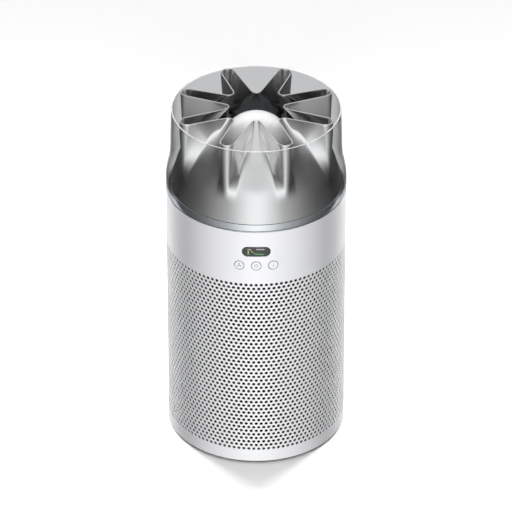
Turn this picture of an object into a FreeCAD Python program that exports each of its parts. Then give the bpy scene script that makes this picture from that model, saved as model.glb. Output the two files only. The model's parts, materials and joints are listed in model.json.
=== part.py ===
"""Cylindrical air purifier with a lobed nozzle: one STEP file for each piece.

Millimetres, +Z up. The origin is on the floor, on the axis of the body, and the front faces -Y.
Azimuths are in degrees from the front, positive towards +X.
"""
import FreeCAD, Part
import math
import os

V = FreeCAD.Vector
UP = V(0, 0, 1)

# ---- overall sizes ----
body_d = 225.0            # diameter of the white sleeve
sleeve_top = 344.0        # height of the seam between sleeve and head
head_h = 113.5            # from that seam to the top edge of the nozzle
sleeve_wall = 1.25
sleeve_r = body_d / 2
bore_r = sleeve_r - sleeve_wall
overall_h = sleeve_top + head_h

# ---- clearances ----
fit_gap = 0.3             # between curved faces of pieces on different bodies
seat_gap = 0.15           # between pieces that are fixed to each other
screw_gap = 0.1           # between a screw and its hole
running_gap = 0.05        # between a shaft and its bearing
seam_gap = 0.2            # between faces that meet along the Z axis
past = 5.0                # how far a cutting shape runs past what it cuts
sink = 0.5                # how far two shapes of one piece run into each other before they are fused
cut_r = bore_r - 30       # inside everything that stands against the sleeve

# ---- base ----
plate_bottom = 1.0
plate_top = 4.0
sleeve_bottom = 3.0
plate_edge_w = 0.7        # how far the plate's edge stands in from the sleeve
plate_bevel_w = 1.2
plate_bevel_h = 0.8
plate_rim_h = 10.0
rim_wall = 2.0
pad_r = 9.0
pad_inset = 24.5          # from the sleeve's side to the middle of a pad
pad_count = 4
pad_depth = 1.4
tray_t = 3.0
tray_wall = 2.0
tray_wall_h = 8.0
tray_gap = 1.3            # between the cartridge and the tray's wall
base_screw_place_r = 72.0
boss_r = 5.0

# ---- power inlet, at the rear ----
inlet_w = 24.0
inlet_h = 13.0
inlet_floor_gap = 2.0     # between the plate and the inlet
inlet_roof_gap = 1.0      # between the inlet and the tray
inlet_side_gap = 1.0      # between the inlet and the plate's rim
inlet_room_depth = 7.0    # how far the plate is cut away behind the inlet
inlet_depth = 20.5
inlet_back_t = 5.0
socket_w = 17.2
socket_h = 9.6
pin_r = 1.2
pin_spacing = 8.6
pin_l = 13.0
cable_r = 2.5
cable_bend_r = 9.0
cable_run = 22.0          # from the inlet to the cable's first bend
cable_step = 4.0          # how much nearer the axis its second bend lies
inlet_z = plate_top + inlet_floor_gap + inlet_h / 2
inlet_back = sleeve_r - inlet_depth
tray_z = inlet_z + inlet_h / 2 + inlet_roof_gap
tray_floor = tray_z + tray_t

# ---- control band, at the front ----
display_w = 35.5
display_h = 13.8
display_drop = 27.7       # from the seam to the middle of the display
lens_t = 1.6
panel_w = 32.0
panel_h = 11.0
panel_t = 1.6
button_r = 6.15
button_drop = 48.0        # from the seam to the middle of the buttons
button_azimuths = {"fan_button": -10.8, "power_button": 0.0, "info_button": 10.8}
button_travel = 0.6
button_flange_w = 1.45    # how far the flange stands out past the cap
button_flange_t = 1.0
stem_r = 1.6
stem_gap = 0.1            # between a pressed stem and its switch
board_w = 58.0
board_h = 50.0
board_t = 1.6
board_rise = 1.0          # how far the board's middle is above that of display and buttons
carrier_w = 52.0
carrier_t = 1.2
carrier_clear = 1.5       # between the carrier's corners and the sleeve
carrier_stand = 2.0       # from the board's face to the carrier's
carrier_screw_inset = 3.0
ear_w = 4.0
leg_r = 2.0
switch_w = 6.0
switch_h = 1.0
plunger_r = 1.4
plunger_h = 0.5
small_screw_r = 1.0
small_screw_head_r = 1.9
small_screw_head_h = 1.2
small_screw_grip = 1.5
display_z = sleeve_top - display_drop
button_z = sleeve_top - button_drop
button_hole_r = button_r + fit_gap
button_flange_r = button_r + button_flange_w
carrier_y = math.sqrt((bore_r - carrier_clear) ** 2 - (carrier_w / 2) ** 2)
board_y = carrier_y - carrier_stand    # front face of the board, from the axis

# ---- air sensor, at the rear of the control band ----
sensor_w = 36.0
sensor_h = 38.0
sensor_depth = 11.5
sensor_clear = 1.3        # between the sensor's corners and the sleeve
sensor_drop = 41.0        # from the seam to the middle of the sensor
sensor_hole_r = 3.0
sensor_hole_depth = 5.0
grille_w = 26.0
grille_h = 12.0
grille_slots = 5
grille_slot_w = 1.8
grille_slot_h = 7.0
sensor_z = sleeve_top - sensor_drop
sensor_front = math.sqrt((bore_r - sensor_clear) ** 2 - (sensor_w / 2) ** 2)

# ---- plug and socket that join head and sleeve ----
dock_azimuth = 203.0
dock_inset = 9.25         # from the sleeve's bore to the middle of the dock
dock_half_w = 8.0
dock_depth = 10.0
dock_drop = 13.0          # from the seam to the top of the socket
dock_gap = 0.5
dock_socket_h = 19.0
dock_pin_r = 1.2
dock_pin_l = 9.0
dock_pin_pitch = 5.0
dock_r = bore_r - dock_inset
dock_split_z = sleeve_top - dock_drop

# ---- fan duct, pod and motor ----
inlet_drop = 89.0         # from the seam to the underside of the fan's inlet ring
inlet_t = 3.0
inlet_lip_h = 4.0
inlet_lip_t = 2.0
inlet_flare = 3.0
duct_r = 94.0
duct_wall = 2.5
duct_drop = 3.0           # from the seam to the top of the duct
lug_inset = 9.75          # from the sleeve's bore to a lug's screw
lug_end = 4.0
lug_half_w = 6.0
lug_t = 3.5
lug_azimuths = (45.0, 135.0, 225.0, 315.0)
head_screw_bite = 5.0
eye_r = 44.5
eye_collar_h = 4.0
shroud_t = 1.4
shroud_belly_w = 14.0     # the shroud's curve passes this far out from the eye,
shroud_belly_h = 11.0     # and this far above it
hub_r = 60.0
hub_rise = 7.0            # from the inlet ring's underside to the hub's nose
hub_h = 30.0
hub_nose_w = 7.0
hub_nose_h = 1.0
hub_belly_r = 31.8        # the hub's curve passes through this radius,
hub_belly_h = 10.5        # this far above the nose
hub_edge_h = 2.0
hub_wall = 2.5
hub_collar_w = 8.0
hub_hollow_w = 4.0
hub_hollow_h = 11.0
shroud_rise = 2.0
tip_r = 84.0
tip_rise = 25.0
blade_count = 9
blade_t = 1.8
blade_arc_r = 58.0
blade_arc_offset = 48.0
pod_gap = 3.0             # between the hub and the pod
pod_r = 60.0
pod_h = 40.0
pod_wall = 2.5
vane_count = 11
vane_t = 1.8
vane_rise = 5.0           # from the pod's underside to the vanes
vane_h = 30.0
vane_tilt = 18.0
vane_ring_t = 1.8
shaft_r = 3.0
shaft_reach = 5.5         # how far the shaft stands out below the hub
shaft_clear = 1.0         # between the shaft and the pod's floor
nut_wall = 2.4
nut_h = 4.3
bearing_r = 9.0
bearing_t = 4.5
rotor_r = 13.0
air_gap = 0.6
stator_r = 26.0
stator_rise = 9.0         # from the pod's underside to the stator
stator_h = 22.0
stator_slot_count = 9
stator_slot_half_w = 1.6
stator_rim = 3.0
winding_h = 4.5
winding_inset = 2.0
cradle_drop = 6.0         # from the stator's top to the cradle's
bracket_drop = 3.5        # from the pod's top to the bracket
bracket_t = 2.5
bracket_arm = 4.0
bracket_window_half_w = 9.0
motor_board_rise = 1.5    # from the pod's top to the motor's board
motor_board_inset = 11.5
motor_board_bore = 6.0
motor_screw_place_r = 50.0
motor_boss_r = 4.0
motor_screw_bite = 8.0
motor_hole_depth = 12.0
screw_r = 1.75
screw_head_r = 3.2
screw_head_h = 2.2
inlet_bottom = sleeve_top - inlet_drop
duct_top = sleeve_top - duct_drop
lug_r = bore_r - lug_inset
hub_nose_z = inlet_bottom + hub_rise
hub_top = hub_nose_z + hub_h
tip_z = hub_nose_z + tip_rise
pod_bottom = hub_top + pod_gap
pod_top = pod_bottom + pod_h
vane_bottom = pod_bottom + vane_rise
vane_top = vane_bottom + vane_h
shaft_bottom = hub_nose_z - shaft_reach
stator_bottom = pod_bottom + stator_rise
stator_top = stator_bottom + stator_h
bracket_z = pod_top - bracket_drop
motor_board_z = pod_top + motor_board_rise

# ---- filter cartridge ----
filter_r = 95.0
filter_rest_gap = 0.2     # between the tray and the cartridge
filter_head_gap = 0.4     # between its seal and the fan's inlet ring
cap_t = 2.5
cap_lip_h = 4.5
cap_lip_w = 2.5
top_frame_t = 6.0
core_r = 56.0
core_wall = 2.0
core_columns = 8
core_rows = 5
core_bar_h = 8.0
core_window_share = 0.7   # of the room that a column of windows has
locator_wall = 2.0
media_gap = 2.35          # between the pleats and the carbon layer
pleat_count = 72
media_t = 1.0
carbon_t = 4.0
handle_w = 12.0
handle_t = 4.0
seal_r = 68.0
seal_w = 8.0
seal_t = 2.4
filter_bottom = tray_floor + filter_rest_gap
filter_top = inlet_bottom - filter_head_gap - seal_t
media_r = filter_r - cap_lip_w - seat_gap - carbon_t - media_gap

# ---- shoulder, nozzle, clear shroud and dome ----
spigot_h = 10.0
spigot_wall = 2.0
groove_drop = 4.5         # from the duct's top to the bottom of the gasket's groove
groove_h = 2.5
groove_depth = 1.0
gasket_gap = 0.1
ledge_t = 1.0
ledge_inset = 0.2
shoulder_h = 8.2
shoulder_inset = 5.1
shoulder_w = 2.8
nozzle_seal_t = 0.8
nozzle_seal_inset = 0.4
skirt_inset = 5.0         # from the sleeve's side to the nozzle's lower edge
band_rise = 42.0          # from the seam to where the round skirt ends and the lobes begin
band_inset = 14.0         # from the sleeve's side to the nozzle there
skirt_waist = 0.9         # how far the skirt's profile is drawn in from a straight cone
nozzle_wall = 1.5
slot_half_w = 9.0         # middle of the wall to the slot's centreline
slot_end_inset = 12.2     # from the sleeve's side to the middle of the wall at a slot's outer end
valley_count = 8
short_apex_r = 33.0       # where the walls of a short valley would meet
long_tip_fillet = 6.0
short_tip_fillet = 6.5
end_arc_span = 1.0        # degrees of the band that each side wall comes down to
glass_wall = 2.2
glass_drop = 2.5          # from the nozzle's top edge to the shroud's
glass_top_inset = 7.3
glass_neck_inset = 5.9
glass_neck_rise = 60.0
glass_foot_rise = 13.0
glass_foot_pull = 0.36    # the S-curve's upright reach at its foot, as a share of its height
glass_neck_pull = 0.47    # the same at its neck
glass_lean = 0.4
glass_rim_fillet = 0.9
dome_r = 45.0
dome_rise = 65.0          # from the pod's top to the centre of the half sphere
dome_cone_h = 17.0
dome_wall = 2.5
shoulder_top = sleeve_top + shoulder_h
shoulder_top_r = sleeve_r - shoulder_inset
skirt_r = sleeve_r - skirt_inset
band_z = sleeve_top + band_rise
band_r = sleeve_r - band_inset
slot_end_r = sleeve_r - slot_end_inset
long_apex_r = slot_half_w / math.sin(math.pi / valley_count)
glass_top = overall_h - glass_drop
glass_top_r = sleeve_r - glass_top_inset
glass_neck_r = sleeve_r - glass_neck_inset
glass_neck_z = sleeve_top + glass_neck_rise
glass_shoulder_z = sleeve_top + glass_foot_rise
dome_centre_z = pod_top + dome_rise
dome_foot_z = pod_top + dome_cone_h

os.makedirs("parts", exist_ok=True)
nodes = {}


# ---- helpers ----
def heading(azimuth):
    """The unit vector that points out from the axis at an azimuth."""
    a = math.radians(azimuth)
    return V(math.sin(a), -math.cos(a), 0)


def disc(r, z0, z1):
    return Part.makeCylinder(r, z1 - z0, V(0, 0, z0), UP)


def ring(r_out, r_in, z0, z1):
    return disc(r_out, z0, z1).cut(disc(r_in, z0 - past, z1 + past))


def revolve(edges):
    face = Part.Face(Part.Wire(edges))
    return Part.makeSolid(face.revolve(V(0, 0, 0), UP, 360).Shells[0])


def lines(*points):
    """Straight edges through (radius, height) points in the XZ plane."""
    p = [V(r, 0, z) for r, z in points]
    return [Part.makeLine(a, b) for a, b in zip(p, p[1:])]


def arc(a, b, c):
    return Part.Arc(V(a[0], 0, a[1]), V(b[0], 0, b[1]), V(c[0], 0, c[1])).toShape()


def turned(*points):
    """A solid of revolution with straight sides through (radius, height) points."""
    return revolve(lines(*points, points[0]))


def post(r, x, y, z0, z1):
    return Part.makeCylinder(r, z1 - z0, V(x, y, z0), UP)


def rod(azimuth, r, r0, r1, z):
    """A cylinder along the radius at an azimuth, from radius r0 out to r1."""
    d = heading(azimuth)
    return Part.makeCylinder(r, r1 - r0, d * r0 + V(0, 0, z), d)


def block(azimuth, r0, r1, half_w, z0, z1):
    """A box with its length along the radius at an azimuth."""
    b = Part.makeBox(r1 - r0, 2 * half_w, z1 - z0, V(r0, -half_w, z0))
    return b.rotate(V(0, 0, 0), UP, azimuth - 90)


def capsule(w, h, z, y0, y1):
    """A prism along Y with a round-ended outline, centred on x = 0."""
    r = h / 2
    s = w / 2 - r
    flat = Part.makeBox(2 * s, y1 - y0, h, V(-s, y0, z - r))
    ends = [Part.makeCylinder(r, y1 - y0, V(x, y0, z), V(0, 1, 0)) for x in (-s, s)]
    return flat.fuse(ends).removeSplitter()


def around(shape, count, first=0.0):
    """Copies of a shape evenly spaced about the axis."""
    copies = []
    for k in range(count):
        c = shape.copy()
        c.rotate(V(0, 0, 0), UP, first + 360.0 * k / count)
        copies.append(c)
    return copies


def at_places(r, azimuths):
    return [heading(a) * r for a in azimuths]


def screw(x, y, head_z0, head_z1, tip_z, r, head_r):
    """A screw along Z; its head lies between head_z0 and head_z1 and it points at tip_z."""
    start = head_z1 if tip_z > head_z1 else head_z0
    body = post(r, x, y, min(start, tip_z), max(start, tip_z))
    return post(head_r, x, y, head_z0, head_z1).fuse(body).removeSplitter()


def route(points, r, bend_r):
    """A round tube along straight runs joined by tangent arcs."""
    p = [V(*q) for q in points]
    edges = []
    start = p[0]
    for a, b, c in zip(p, p[1:], p[2:]):
        u = (a - b).normalize()
        w = (c - b).normalize()
        half = u.getAngle(w) / 2
        reach = bend_r / math.tan(half)
        middle = (u + w).normalize() * (bend_r / math.sin(half) - bend_r)
        edges.append(Part.makeLine(start, b + u * reach))
        edges.append(Part.Arc(b + u * reach, b + middle, b + w * reach).toShape())
        start = b + w * reach
    edges.append(Part.makeLine(start, p[-1]))
    path = Part.Wire(edges)
    section = Part.Wire(Part.makeCircle(r, p[0], p[1] - p[0]))
    return path.makePipeShell([section], True, True)


# ---- base ----
plate_r = sleeve_r - plate_edge_w
pad_place_r = sleeve_r - pad_inset
rim_r = bore_r - seat_gap
screw_azimuths = [45 + 360.0 * k / pad_count for k in range(pad_count)]
screw_places = at_places(base_screw_place_r, screw_azimuths)
inlet_room = capsule(inlet_w + 2 * inlet_side_gap, inlet_h + 2 * seat_gap, inlet_z,
                     inlet_back - inlet_room_depth, sleeve_r + past)


def make_base_plate():
    plate = turned((0, plate_bottom), (plate_r - plate_bevel_w, plate_bottom),
                   (plate_r, plate_bottom + plate_bevel_h),
                   (plate_r, sleeve_bottom), (rim_r, sleeve_bottom),
                   (rim_r, plate_top + plate_rim_h), (rim_r - rim_wall, plate_top + plate_rim_h),
                   (rim_r - rim_wall, plate_top), (0, plate_top))
    plate = plate.cut(inlet_room)
    for p in at_places(pad_place_r, screw_azimuths):
        plate = plate.cut(post(pad_r, p.x, p.y, 0, plate_bottom + pad_depth))
    for p in screw_places:
        plate = plate.cut(post(screw_head_r + screw_gap, p.x, p.y, 0, plate_bottom + screw_head_h))
        plate = plate.cut(post(screw_r + screw_gap, p.x, p.y, 0, plate_top + past))
    return plate


nodes["base_plate"] = make_base_plate()
nodes["foot_pads"] = Part.makeCompound(
    [post(pad_r - seat_gap, p.x, p.y, 0, plate_bottom + pad_depth)
     for p in at_places(pad_place_r, screw_azimuths)])

dock_axis = heading(dock_azimuth) * dock_r


def make_base_tray():
    wall_r = filter_r + tray_gap
    tray = disc(rim_r, tray_z, tray_floor)
    tray = tray.fuse(ring(wall_r + tray_wall, wall_r, tray_floor - sink, tray_floor + tray_wall_h))
    bosses = [post(boss_r, p.x, p.y, plate_top, tray_z + sink) for p in screw_places]
    tray = tray.fuse(bosses).removeSplitter()
    for p in screw_places:
        tray = tray.cut(post(screw_r + screw_gap, p.x, p.y, 0, tray_z + tray_t / 2))
    return tray.cut(post(2 * cable_r, dock_axis.x, dock_axis.y, 0, tray_floor + past))


nodes["base_tray"] = make_base_tray()
nodes["base_screws"] = Part.makeCompound(
    [screw(p.x, p.y, plate_bottom, plate_bottom + screw_head_h, tray_z, screw_r, screw_head_r)
     for p in screw_places])


# ---- sleeve ----
def make_outer_sleeve():
    sleeve = ring(sleeve_r, bore_r, sleeve_bottom, sleeve_top)
    front = (-sleeve_r - past, -cut_r)
    sleeve = sleeve.cut(capsule(display_w + 2 * seat_gap, display_h + 2 * seat_gap, display_z, *front))
    for azimuth in button_azimuths.values():
        sleeve = sleeve.cut(rod(azimuth, button_hole_r, cut_r, sleeve_r + past, button_z))
    rear = (cut_r, sleeve_r + past)
    sleeve = sleeve.cut(capsule(inlet_w + 2 * seat_gap, inlet_h + 2 * seat_gap, inlet_z, *rear))
    return sleeve.cut(capsule(grille_w + 2 * seat_gap, grille_h + 2 * seat_gap, sensor_z, *rear))


nodes["outer_sleeve"] = make_outer_sleeve()

# ---- power inlet and the cable from it to the dock ----
inlet_face = disc(sleeve_r, 0, tray_floor)
pin_start = inlet_back + inlet_back_t / 2
pin_xs = (-pin_spacing / 2, pin_spacing / 2)


def make_power_inlet():
    inlet = capsule(inlet_w, inlet_h, inlet_z, inlet_back, sleeve_r + past).common(inlet_face)
    inlet = inlet.cut(capsule(socket_w, socket_h, inlet_z, inlet_back + inlet_back_t, sleeve_r + past))
    for x in pin_xs:
        inlet = inlet.cut(Part.makeCylinder(pin_r, pin_l, V(x, pin_start, inlet_z), V(0, 1, 0)))
    return inlet


nodes["power_inlet"] = make_power_inlet()
nodes["inlet_pins"] = Part.makeCompound(
    [Part.makeCylinder(pin_r, pin_l, V(x, pin_start, inlet_z), V(0, 1, 0)) for x in pin_xs])
dock_bottom = dock_split_z - dock_socket_h
nodes["power_cable"] = route(
    [(0, inlet_back, inlet_z), (0, inlet_back - cable_run, inlet_z),
     (dock_axis.x, inlet_back - cable_run - cable_step, inlet_z),
     (dock_axis.x, dock_axis.y, inlet_z), (dock_axis.x, dock_axis.y, dock_bottom)],
    cable_r, cable_bend_r)

# ---- dock: plug on the head, socket on the sleeve ----
pin_offsets = (-dock_pin_pitch, 0.0, dock_pin_pitch)
dock_across = heading(dock_azimuth + 90)
plug_bottom = dock_split_z + dock_gap


def dock_pins(r, z0, z1):
    places = [dock_axis + dock_across * s for s in pin_offsets]
    return [post(r, p.x, p.y, z0, z1) for p in places]


def make_dock_socket():
    inner = dock_r - dock_depth / 2
    socket = block(dock_azimuth, inner, sleeve_r, dock_half_w, dock_bottom, dock_split_z)
    socket = socket.common(disc(bore_r - seat_gap, dock_bottom, dock_split_z))
    return socket.cut(Part.makeCompound(dock_pins(dock_pin_r + 2 * fit_gap,
                                                  dock_split_z - dock_pin_l - dock_gap, dock_split_z + past)))


def make_dock_plug():
    inner = dock_r - dock_depth / 2
    plug = block(dock_azimuth, inner, inner + dock_depth, dock_half_w, plug_bottom, duct_top)
    return plug.fuse(dock_pins(dock_pin_r, dock_split_z - dock_pin_l, plug_bottom + sink))


nodes["dock_socket"] = make_dock_socket()
nodes["dock_plug"] = make_dock_plug()


# ---- display, buttons and control board ----
def front_box(w, h, z, y_front, t):
    """A flat box across the front, its outer face y_front away from the axis."""
    return Part.makeBox(w, t, h, V(-w / 2, -y_front, z - h / 2))


lens_inner_r = sleeve_r - lens_t
panel_y = math.sqrt((lens_inner_r - fit_gap) ** 2 - (panel_w / 2) ** 2)
board_z = (display_z + button_z) / 2 + board_rise
switch_top_y = board_y + switch_h + plunger_h
carrier_corner_x = carrier_w / 2 - carrier_screw_inset
carrier_corner_z = board_h / 2 - carrier_screw_inset
board_screws = [(x, board_z + z) for x in (-carrier_corner_x, carrier_corner_x)
                for z in (-carrier_corner_z, carrier_corner_z)]

nodes["display_lens"] = capsule(display_w, display_h, display_z, -sleeve_r - past, -cut_r).common(
    ring(sleeve_r, lens_inner_r, 0, sleeve_top))
nodes["display_panel"] = front_box(panel_w, panel_h, display_z, panel_y, panel_t)


def make_display_carrier():
    carrier = front_box(carrier_w, board_h, board_z, carrier_y, carrier_t)
    back_y = panel_y - panel_t
    shelf = front_box(panel_w, panel_h, display_z, back_y, back_y - carrier_y + sink)
    ears = [Part.makeBox(ear_w, bore_r - carrier_y, ear_w, V(x - ear_w / 2, -bore_r, z - ear_w / 2))
            for x, z in board_screws]
    legs = [Part.makeCylinder(leg_r, carrier_stand, V(x, -carrier_y + carrier_t / 2, z), V(0, 1, 0))
            for x, z in board_screws]
    carrier = carrier.fuse([shelf] + ears).common(disc(bore_r - seat_gap, 0, sleeve_top))
    carrier = carrier.fuse([leg.common(front_box(carrier_w, board_h, board_z, carrier_y, carrier_stand)) for leg in legs])
    for azimuth in button_azimuths.values():
        carrier = carrier.cut(rod(azimuth, button_flange_r + 2 * fit_gap, cut_r, sleeve_r, button_z))
    for x, z in board_screws:
        carrier = carrier.cut(Part.makeCylinder(small_screw_r, past, V(x, -carrier_y, z), V(0, 1, 0)))
    return carrier.removeSplitter()


def make_control_board():
    board = front_box(board_w, board_h, board_z, board_y, board_t)
    for x, z in board_screws:
        hole = Part.makeCylinder(small_screw_r + screw_gap, past, V(x, -carrier_y, z), V(0, 1, 0))
        board = board.cut(hole)
    return board


def make_button_switches():
    switches = []
    for azimuth in button_azimuths.values():
        x = board_y * math.tan(math.radians(azimuth))
        can = Part.makeBox(switch_w, switch_h, switch_w,
                           V(x - switch_w / 2, -board_y - switch_h, button_z - switch_w / 2))
        plunger = Part.makeCylinder(plunger_r, plunger_h, V(x, -switch_top_y, button_z), V(0, 1, 0))
        switches.append(can.fuse(plunger))
    return Part.makeCompound(switches)


def make_button(azimuth):
    """A round cap flush with the sleeve, with a flange behind it and a stem towards its switch."""
    a = math.radians(abs(azimuth))
    flange_r1 = bore_r - fit_gap
    flange_r0 = flange_r1 - button_flange_t
    stem_end = switch_top_y / math.cos(a) + (stem_r + plunger_r) * math.tan(a) + button_travel + stem_gap
    cap = rod(azimuth, button_r, cut_r, sleeve_r + past, button_z)
    cap = cap.common(ring(sleeve_r, flange_r0, 0, sleeve_top))
    flange = rod(azimuth, button_flange_r, cut_r, sleeve_r + past, button_z)
    flange = flange.common(ring(flange_r1, flange_r0, 0, sleeve_top))
    stem = rod(azimuth, stem_r, stem_end, flange_r1, button_z)
    return cap.fuse([flange, stem]).removeSplitter()


nodes["display_carrier"] = make_display_carrier()
nodes["control_board"] = make_control_board()
nodes["button_switches"] = make_button_switches()
for name, azimuth in button_azimuths.items():
    nodes[name] = make_button(azimuth)


def make_panel_screws():
    back = -board_y + board_t
    screws = []
    for x, z in board_screws:
        head = Part.makeCylinder(small_screw_head_r, small_screw_head_h, V(x, back, z), V(0, 1, 0))
        stem = Part.makeCylinder(small_screw_r, board_t + small_screw_grip, V(x, back, z), V(0, -1, 0))
        screws.append(head.fuse(stem))
    return Part.makeCompound(screws)


nodes["panel_screws"] = make_panel_screws()


# ---- air sensor and its grille ----
def make_air_sensor():
    back = sensor_front - sensor_depth
    case = Part.makeBox(sensor_w, sensor_depth, sensor_h, V(-sensor_w / 2, back, sensor_z - sensor_h / 2))
    return case.cut(Part.makeCylinder(sensor_hole_r, sensor_hole_depth + past,
                                      V(0, sensor_front - sensor_hole_depth, sensor_z), V(0, 1, 0)))


def make_sensor_grille():
    grille = capsule(grille_w, grille_h, sensor_z, cut_r, sleeve_r + past).common(
        ring(sleeve_r, bore_r - fit_gap, 0, sleeve_top))
    pitch = 2 * grille_slot_w
    for k in range(grille_slots):
        x = (k - (grille_slots - 1) / 2) * pitch
        grille = grille.cut(Part.makeBox(grille_slot_w, sleeve_r + past - cut_r, grille_slot_h,
                                         V(x - grille_slot_w / 2, cut_r, sensor_z - grille_slot_h / 2)))
    return grille


nodes["air_sensor"] = make_air_sensor()
nodes["sensor_grille"] = make_sensor_grille()

# ---- filter cartridge ----
inside_bottom = filter_bottom + cap_t + seat_gap
frame_bottom = filter_top - top_frame_t
inside_top = frame_bottom - seat_gap
lip_r = filter_r - cap_lip_w
core_bore = core_r - core_wall
locator_r = core_bore - seat_gap

nodes["filter_bottom_cap"] = disc(filter_r, filter_bottom, filter_bottom + cap_t).fuse(
    [ring(filter_r, lip_r, filter_bottom, filter_bottom + cap_t + cap_lip_h),
     ring(locator_r, locator_r - locator_wall, filter_bottom, filter_bottom + cap_t + cap_lip_h)]).removeSplitter()


def make_filter_core():
    core = ring(core_r, core_bore, inside_bottom, inside_top)
    row_h = (inside_top - inside_bottom) / core_rows
    window_half_w = core_window_share * math.pi * core_r / core_columns
    for row in range(core_rows):
        z0 = inside_bottom + row * row_h + core_bar_h / 2
        window = block(0, core_bore / 2, core_r + past, window_half_w, z0, z0 + row_h - core_bar_h)
        core = core.cut(Part.makeCompound(around(window, core_columns)))
    return core


def make_filter_media():
    """The pleated paper: a zigzag sheet of even thickness, folded into a ring."""
    def zigzag(shift):
        points = []
        for k in range(2 * pleat_count + 1):
            a = math.pi * k / pleat_count
            r = (media_r if k % 2 else core_r + 2 * media_t) + shift
            points.append(V(r * math.cos(a), r * math.sin(a), inside_bottom))
        return Part.Face(Part.makePolygon(points))
    fold = math.pi * core_r / pleat_count
    reach = media_t * (media_r - core_r) / fold / 2
    outer = zigzag(0).extrude(V(0, 0, inside_top - inside_bottom))
    inner = zigzag(-reach).extrude(V(0, 0, inside_top - inside_bottom))
    return outer.cut(inner.fuse(disc(core_r + seat_gap, inside_bottom, inside_top)))


def make_filter_top_frame():
    frame = ring(filter_r, locator_r - locator_wall, frame_bottom, filter_top)
    frame = frame.fuse(ring(filter_r, lip_r, frame_bottom - cap_lip_h, frame_bottom + sink))
    frame = frame.fuse(ring(locator_r, locator_r - locator_wall, frame_bottom - cap_lip_h, frame_bottom + sink))
    bar_x = locator_r - locator_wall / 2
    bar = Part.makeBox(2 * bar_x, handle_w, handle_t,
                       V(-bar_x, -handle_w / 2, frame_bottom + (top_frame_t - handle_t) / 2))
    return frame.fuse(bar).removeSplitter()


nodes["filter_core"] = make_filter_core()
nodes["filter_media"] = make_filter_media()
carbon_r = lip_r - seat_gap
nodes["carbon_sleeve"] = ring(carbon_r, carbon_r - carbon_t, inside_bottom, inside_top)
nodes["filter_top_frame"] = make_filter_top_frame()
nodes["filter_seal"] = ring(seal_r, seal_r - seal_w, filter_top, filter_top + seal_t)

# ---- fan duct and inlet ----
duct_bore = duct_r - duct_wall
inlet_top = inlet_bottom + inlet_t
lip_inner_r = eye_r + shroud_t + 2 * sink
lug_places = at_places(lug_r, lug_azimuths)
nodes["inlet_ring"] = turned(
    (duct_r, inlet_bottom), (duct_r, inlet_top), (lip_inner_r + inlet_lip_t + inlet_lip_h, inlet_top),
    (lip_inner_r + inlet_lip_t, inlet_top + inlet_lip_h), (lip_inner_r, inlet_top + inlet_lip_h),
    (lip_inner_r, inlet_top), (lip_inner_r + inlet_flare, inlet_bottom))


def make_fan_duct():
    duct = ring(duct_r, duct_bore, inlet_top, duct_top)
    lugs = [block(a, duct_r - sink, lug_r + lug_end, lug_half_w, duct_top - lug_t, duct_top)
            for a in lug_azimuths]
    duct = duct.fuse(lugs).removeSplitter()
    for p in lug_places:
        duct = duct.cut(post(screw_r + screw_gap, p.x, p.y, duct_top - 2 * lug_t, duct_top + past))
    return duct


nodes["fan_duct"] = make_fan_duct()
head_screw_top = duct_top + head_screw_bite
lug_bottom = duct_top - lug_t
nodes["head_screws"] = Part.makeCompound(
    [screw(p.x, p.y, lug_bottom - screw_head_h, lug_bottom, head_screw_top, screw_r, screw_head_r)
     for p in lug_places])

# ---- impeller: hub with blades, and the shroud that closes them ----
hub_curve = ((shaft_r + hub_nose_w, hub_nose_z + hub_nose_h), (hub_belly_r, hub_nose_z + hub_belly_h),
             (hub_r, hub_top - hub_edge_h))
shroud_bottom = hub_nose_z + shroud_rise
shroud_curve = ((eye_r, shroud_bottom), (eye_r + shroud_belly_w, shroud_bottom + shroud_belly_h),
                (tip_r, tip_z))


def make_impeller():
    collar_r = shaft_r + hub_collar_w
    hollow_z = hub_nose_z + hub_hollow_h
    hub = revolve(lines((shaft_r, hub_nose_z), hub_curve[0]) + [arc(*hub_curve)]
                  + lines(hub_curve[2], (hub_r, hub_top), (hub_r - hub_wall, hub_top),
                          (collar_r + hub_hollow_w, hollow_z), (collar_r, hollow_z),
                          (collar_r, hub_top), (shaft_r, hub_top), (shaft_r, hub_nose_z)))
    zone = revolve([arc(*hub_curve)] + lines(hub_curve[2], shroud_curve[2])
                   + [arc(*reversed(shroud_curve))] + lines(shroud_curve[0], hub_curve[0]))
    plate = ring(blade_arc_r, blade_arc_r - blade_t, hub_nose_z - past, hub_top + past)
    plate = plate.common(Part.makeBox(4 * blade_arc_r, 2 * blade_arc_r, overall_h, V(-2 * blade_arc_r, 0, 0)))
    plate.translate(V(blade_arc_offset, 0, 0))
    blade = plate.common(zone)
    blade = max(blade.Solids, key=lambda s: s.Volume)
    return hub.fuse(around(blade, blade_count)).removeSplitter()


def make_impeller_shroud():
    inner = shroud_curve
    collar_z = shroud_bottom - eye_collar_h
    outer = ((eye_r + shroud_t, shroud_bottom), (inner[1][0] + shroud_t * math.sqrt(0.5), inner[1][1] - shroud_t),
             (tip_r, tip_z - shroud_t))
    return revolve(lines((eye_r + shroud_t, collar_z), (eye_r, collar_z), inner[0])
                   + [arc(*inner)] + lines(inner[2], outer[2]) + [arc(*reversed(outer))]
                   + lines(outer[0], (eye_r + shroud_t, collar_z)))


nodes["impeller"] = make_impeller()
nodes["impeller_shroud"] = make_impeller_shroud()
nut_top = hub_nose_z - seat_gap
nut_r = shaft_r + nut_wall
nut = Part.makePolygon([V(nut_r * math.cos(math.radians(60 * k)), nut_r * math.sin(math.radians(60 * k)),
                          nut_top - nut_h) for k in range(7)])
nodes["impeller_nut"] = Part.Face(nut).extrude(V(0, 0, nut_h)).cut(disc(shaft_r, 0, hub_nose_z))
shaft_top = bracket_z + bearing_t
nodes["motor_shaft"] = disc(shaft_r, shaft_bottom, shaft_top)

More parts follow.
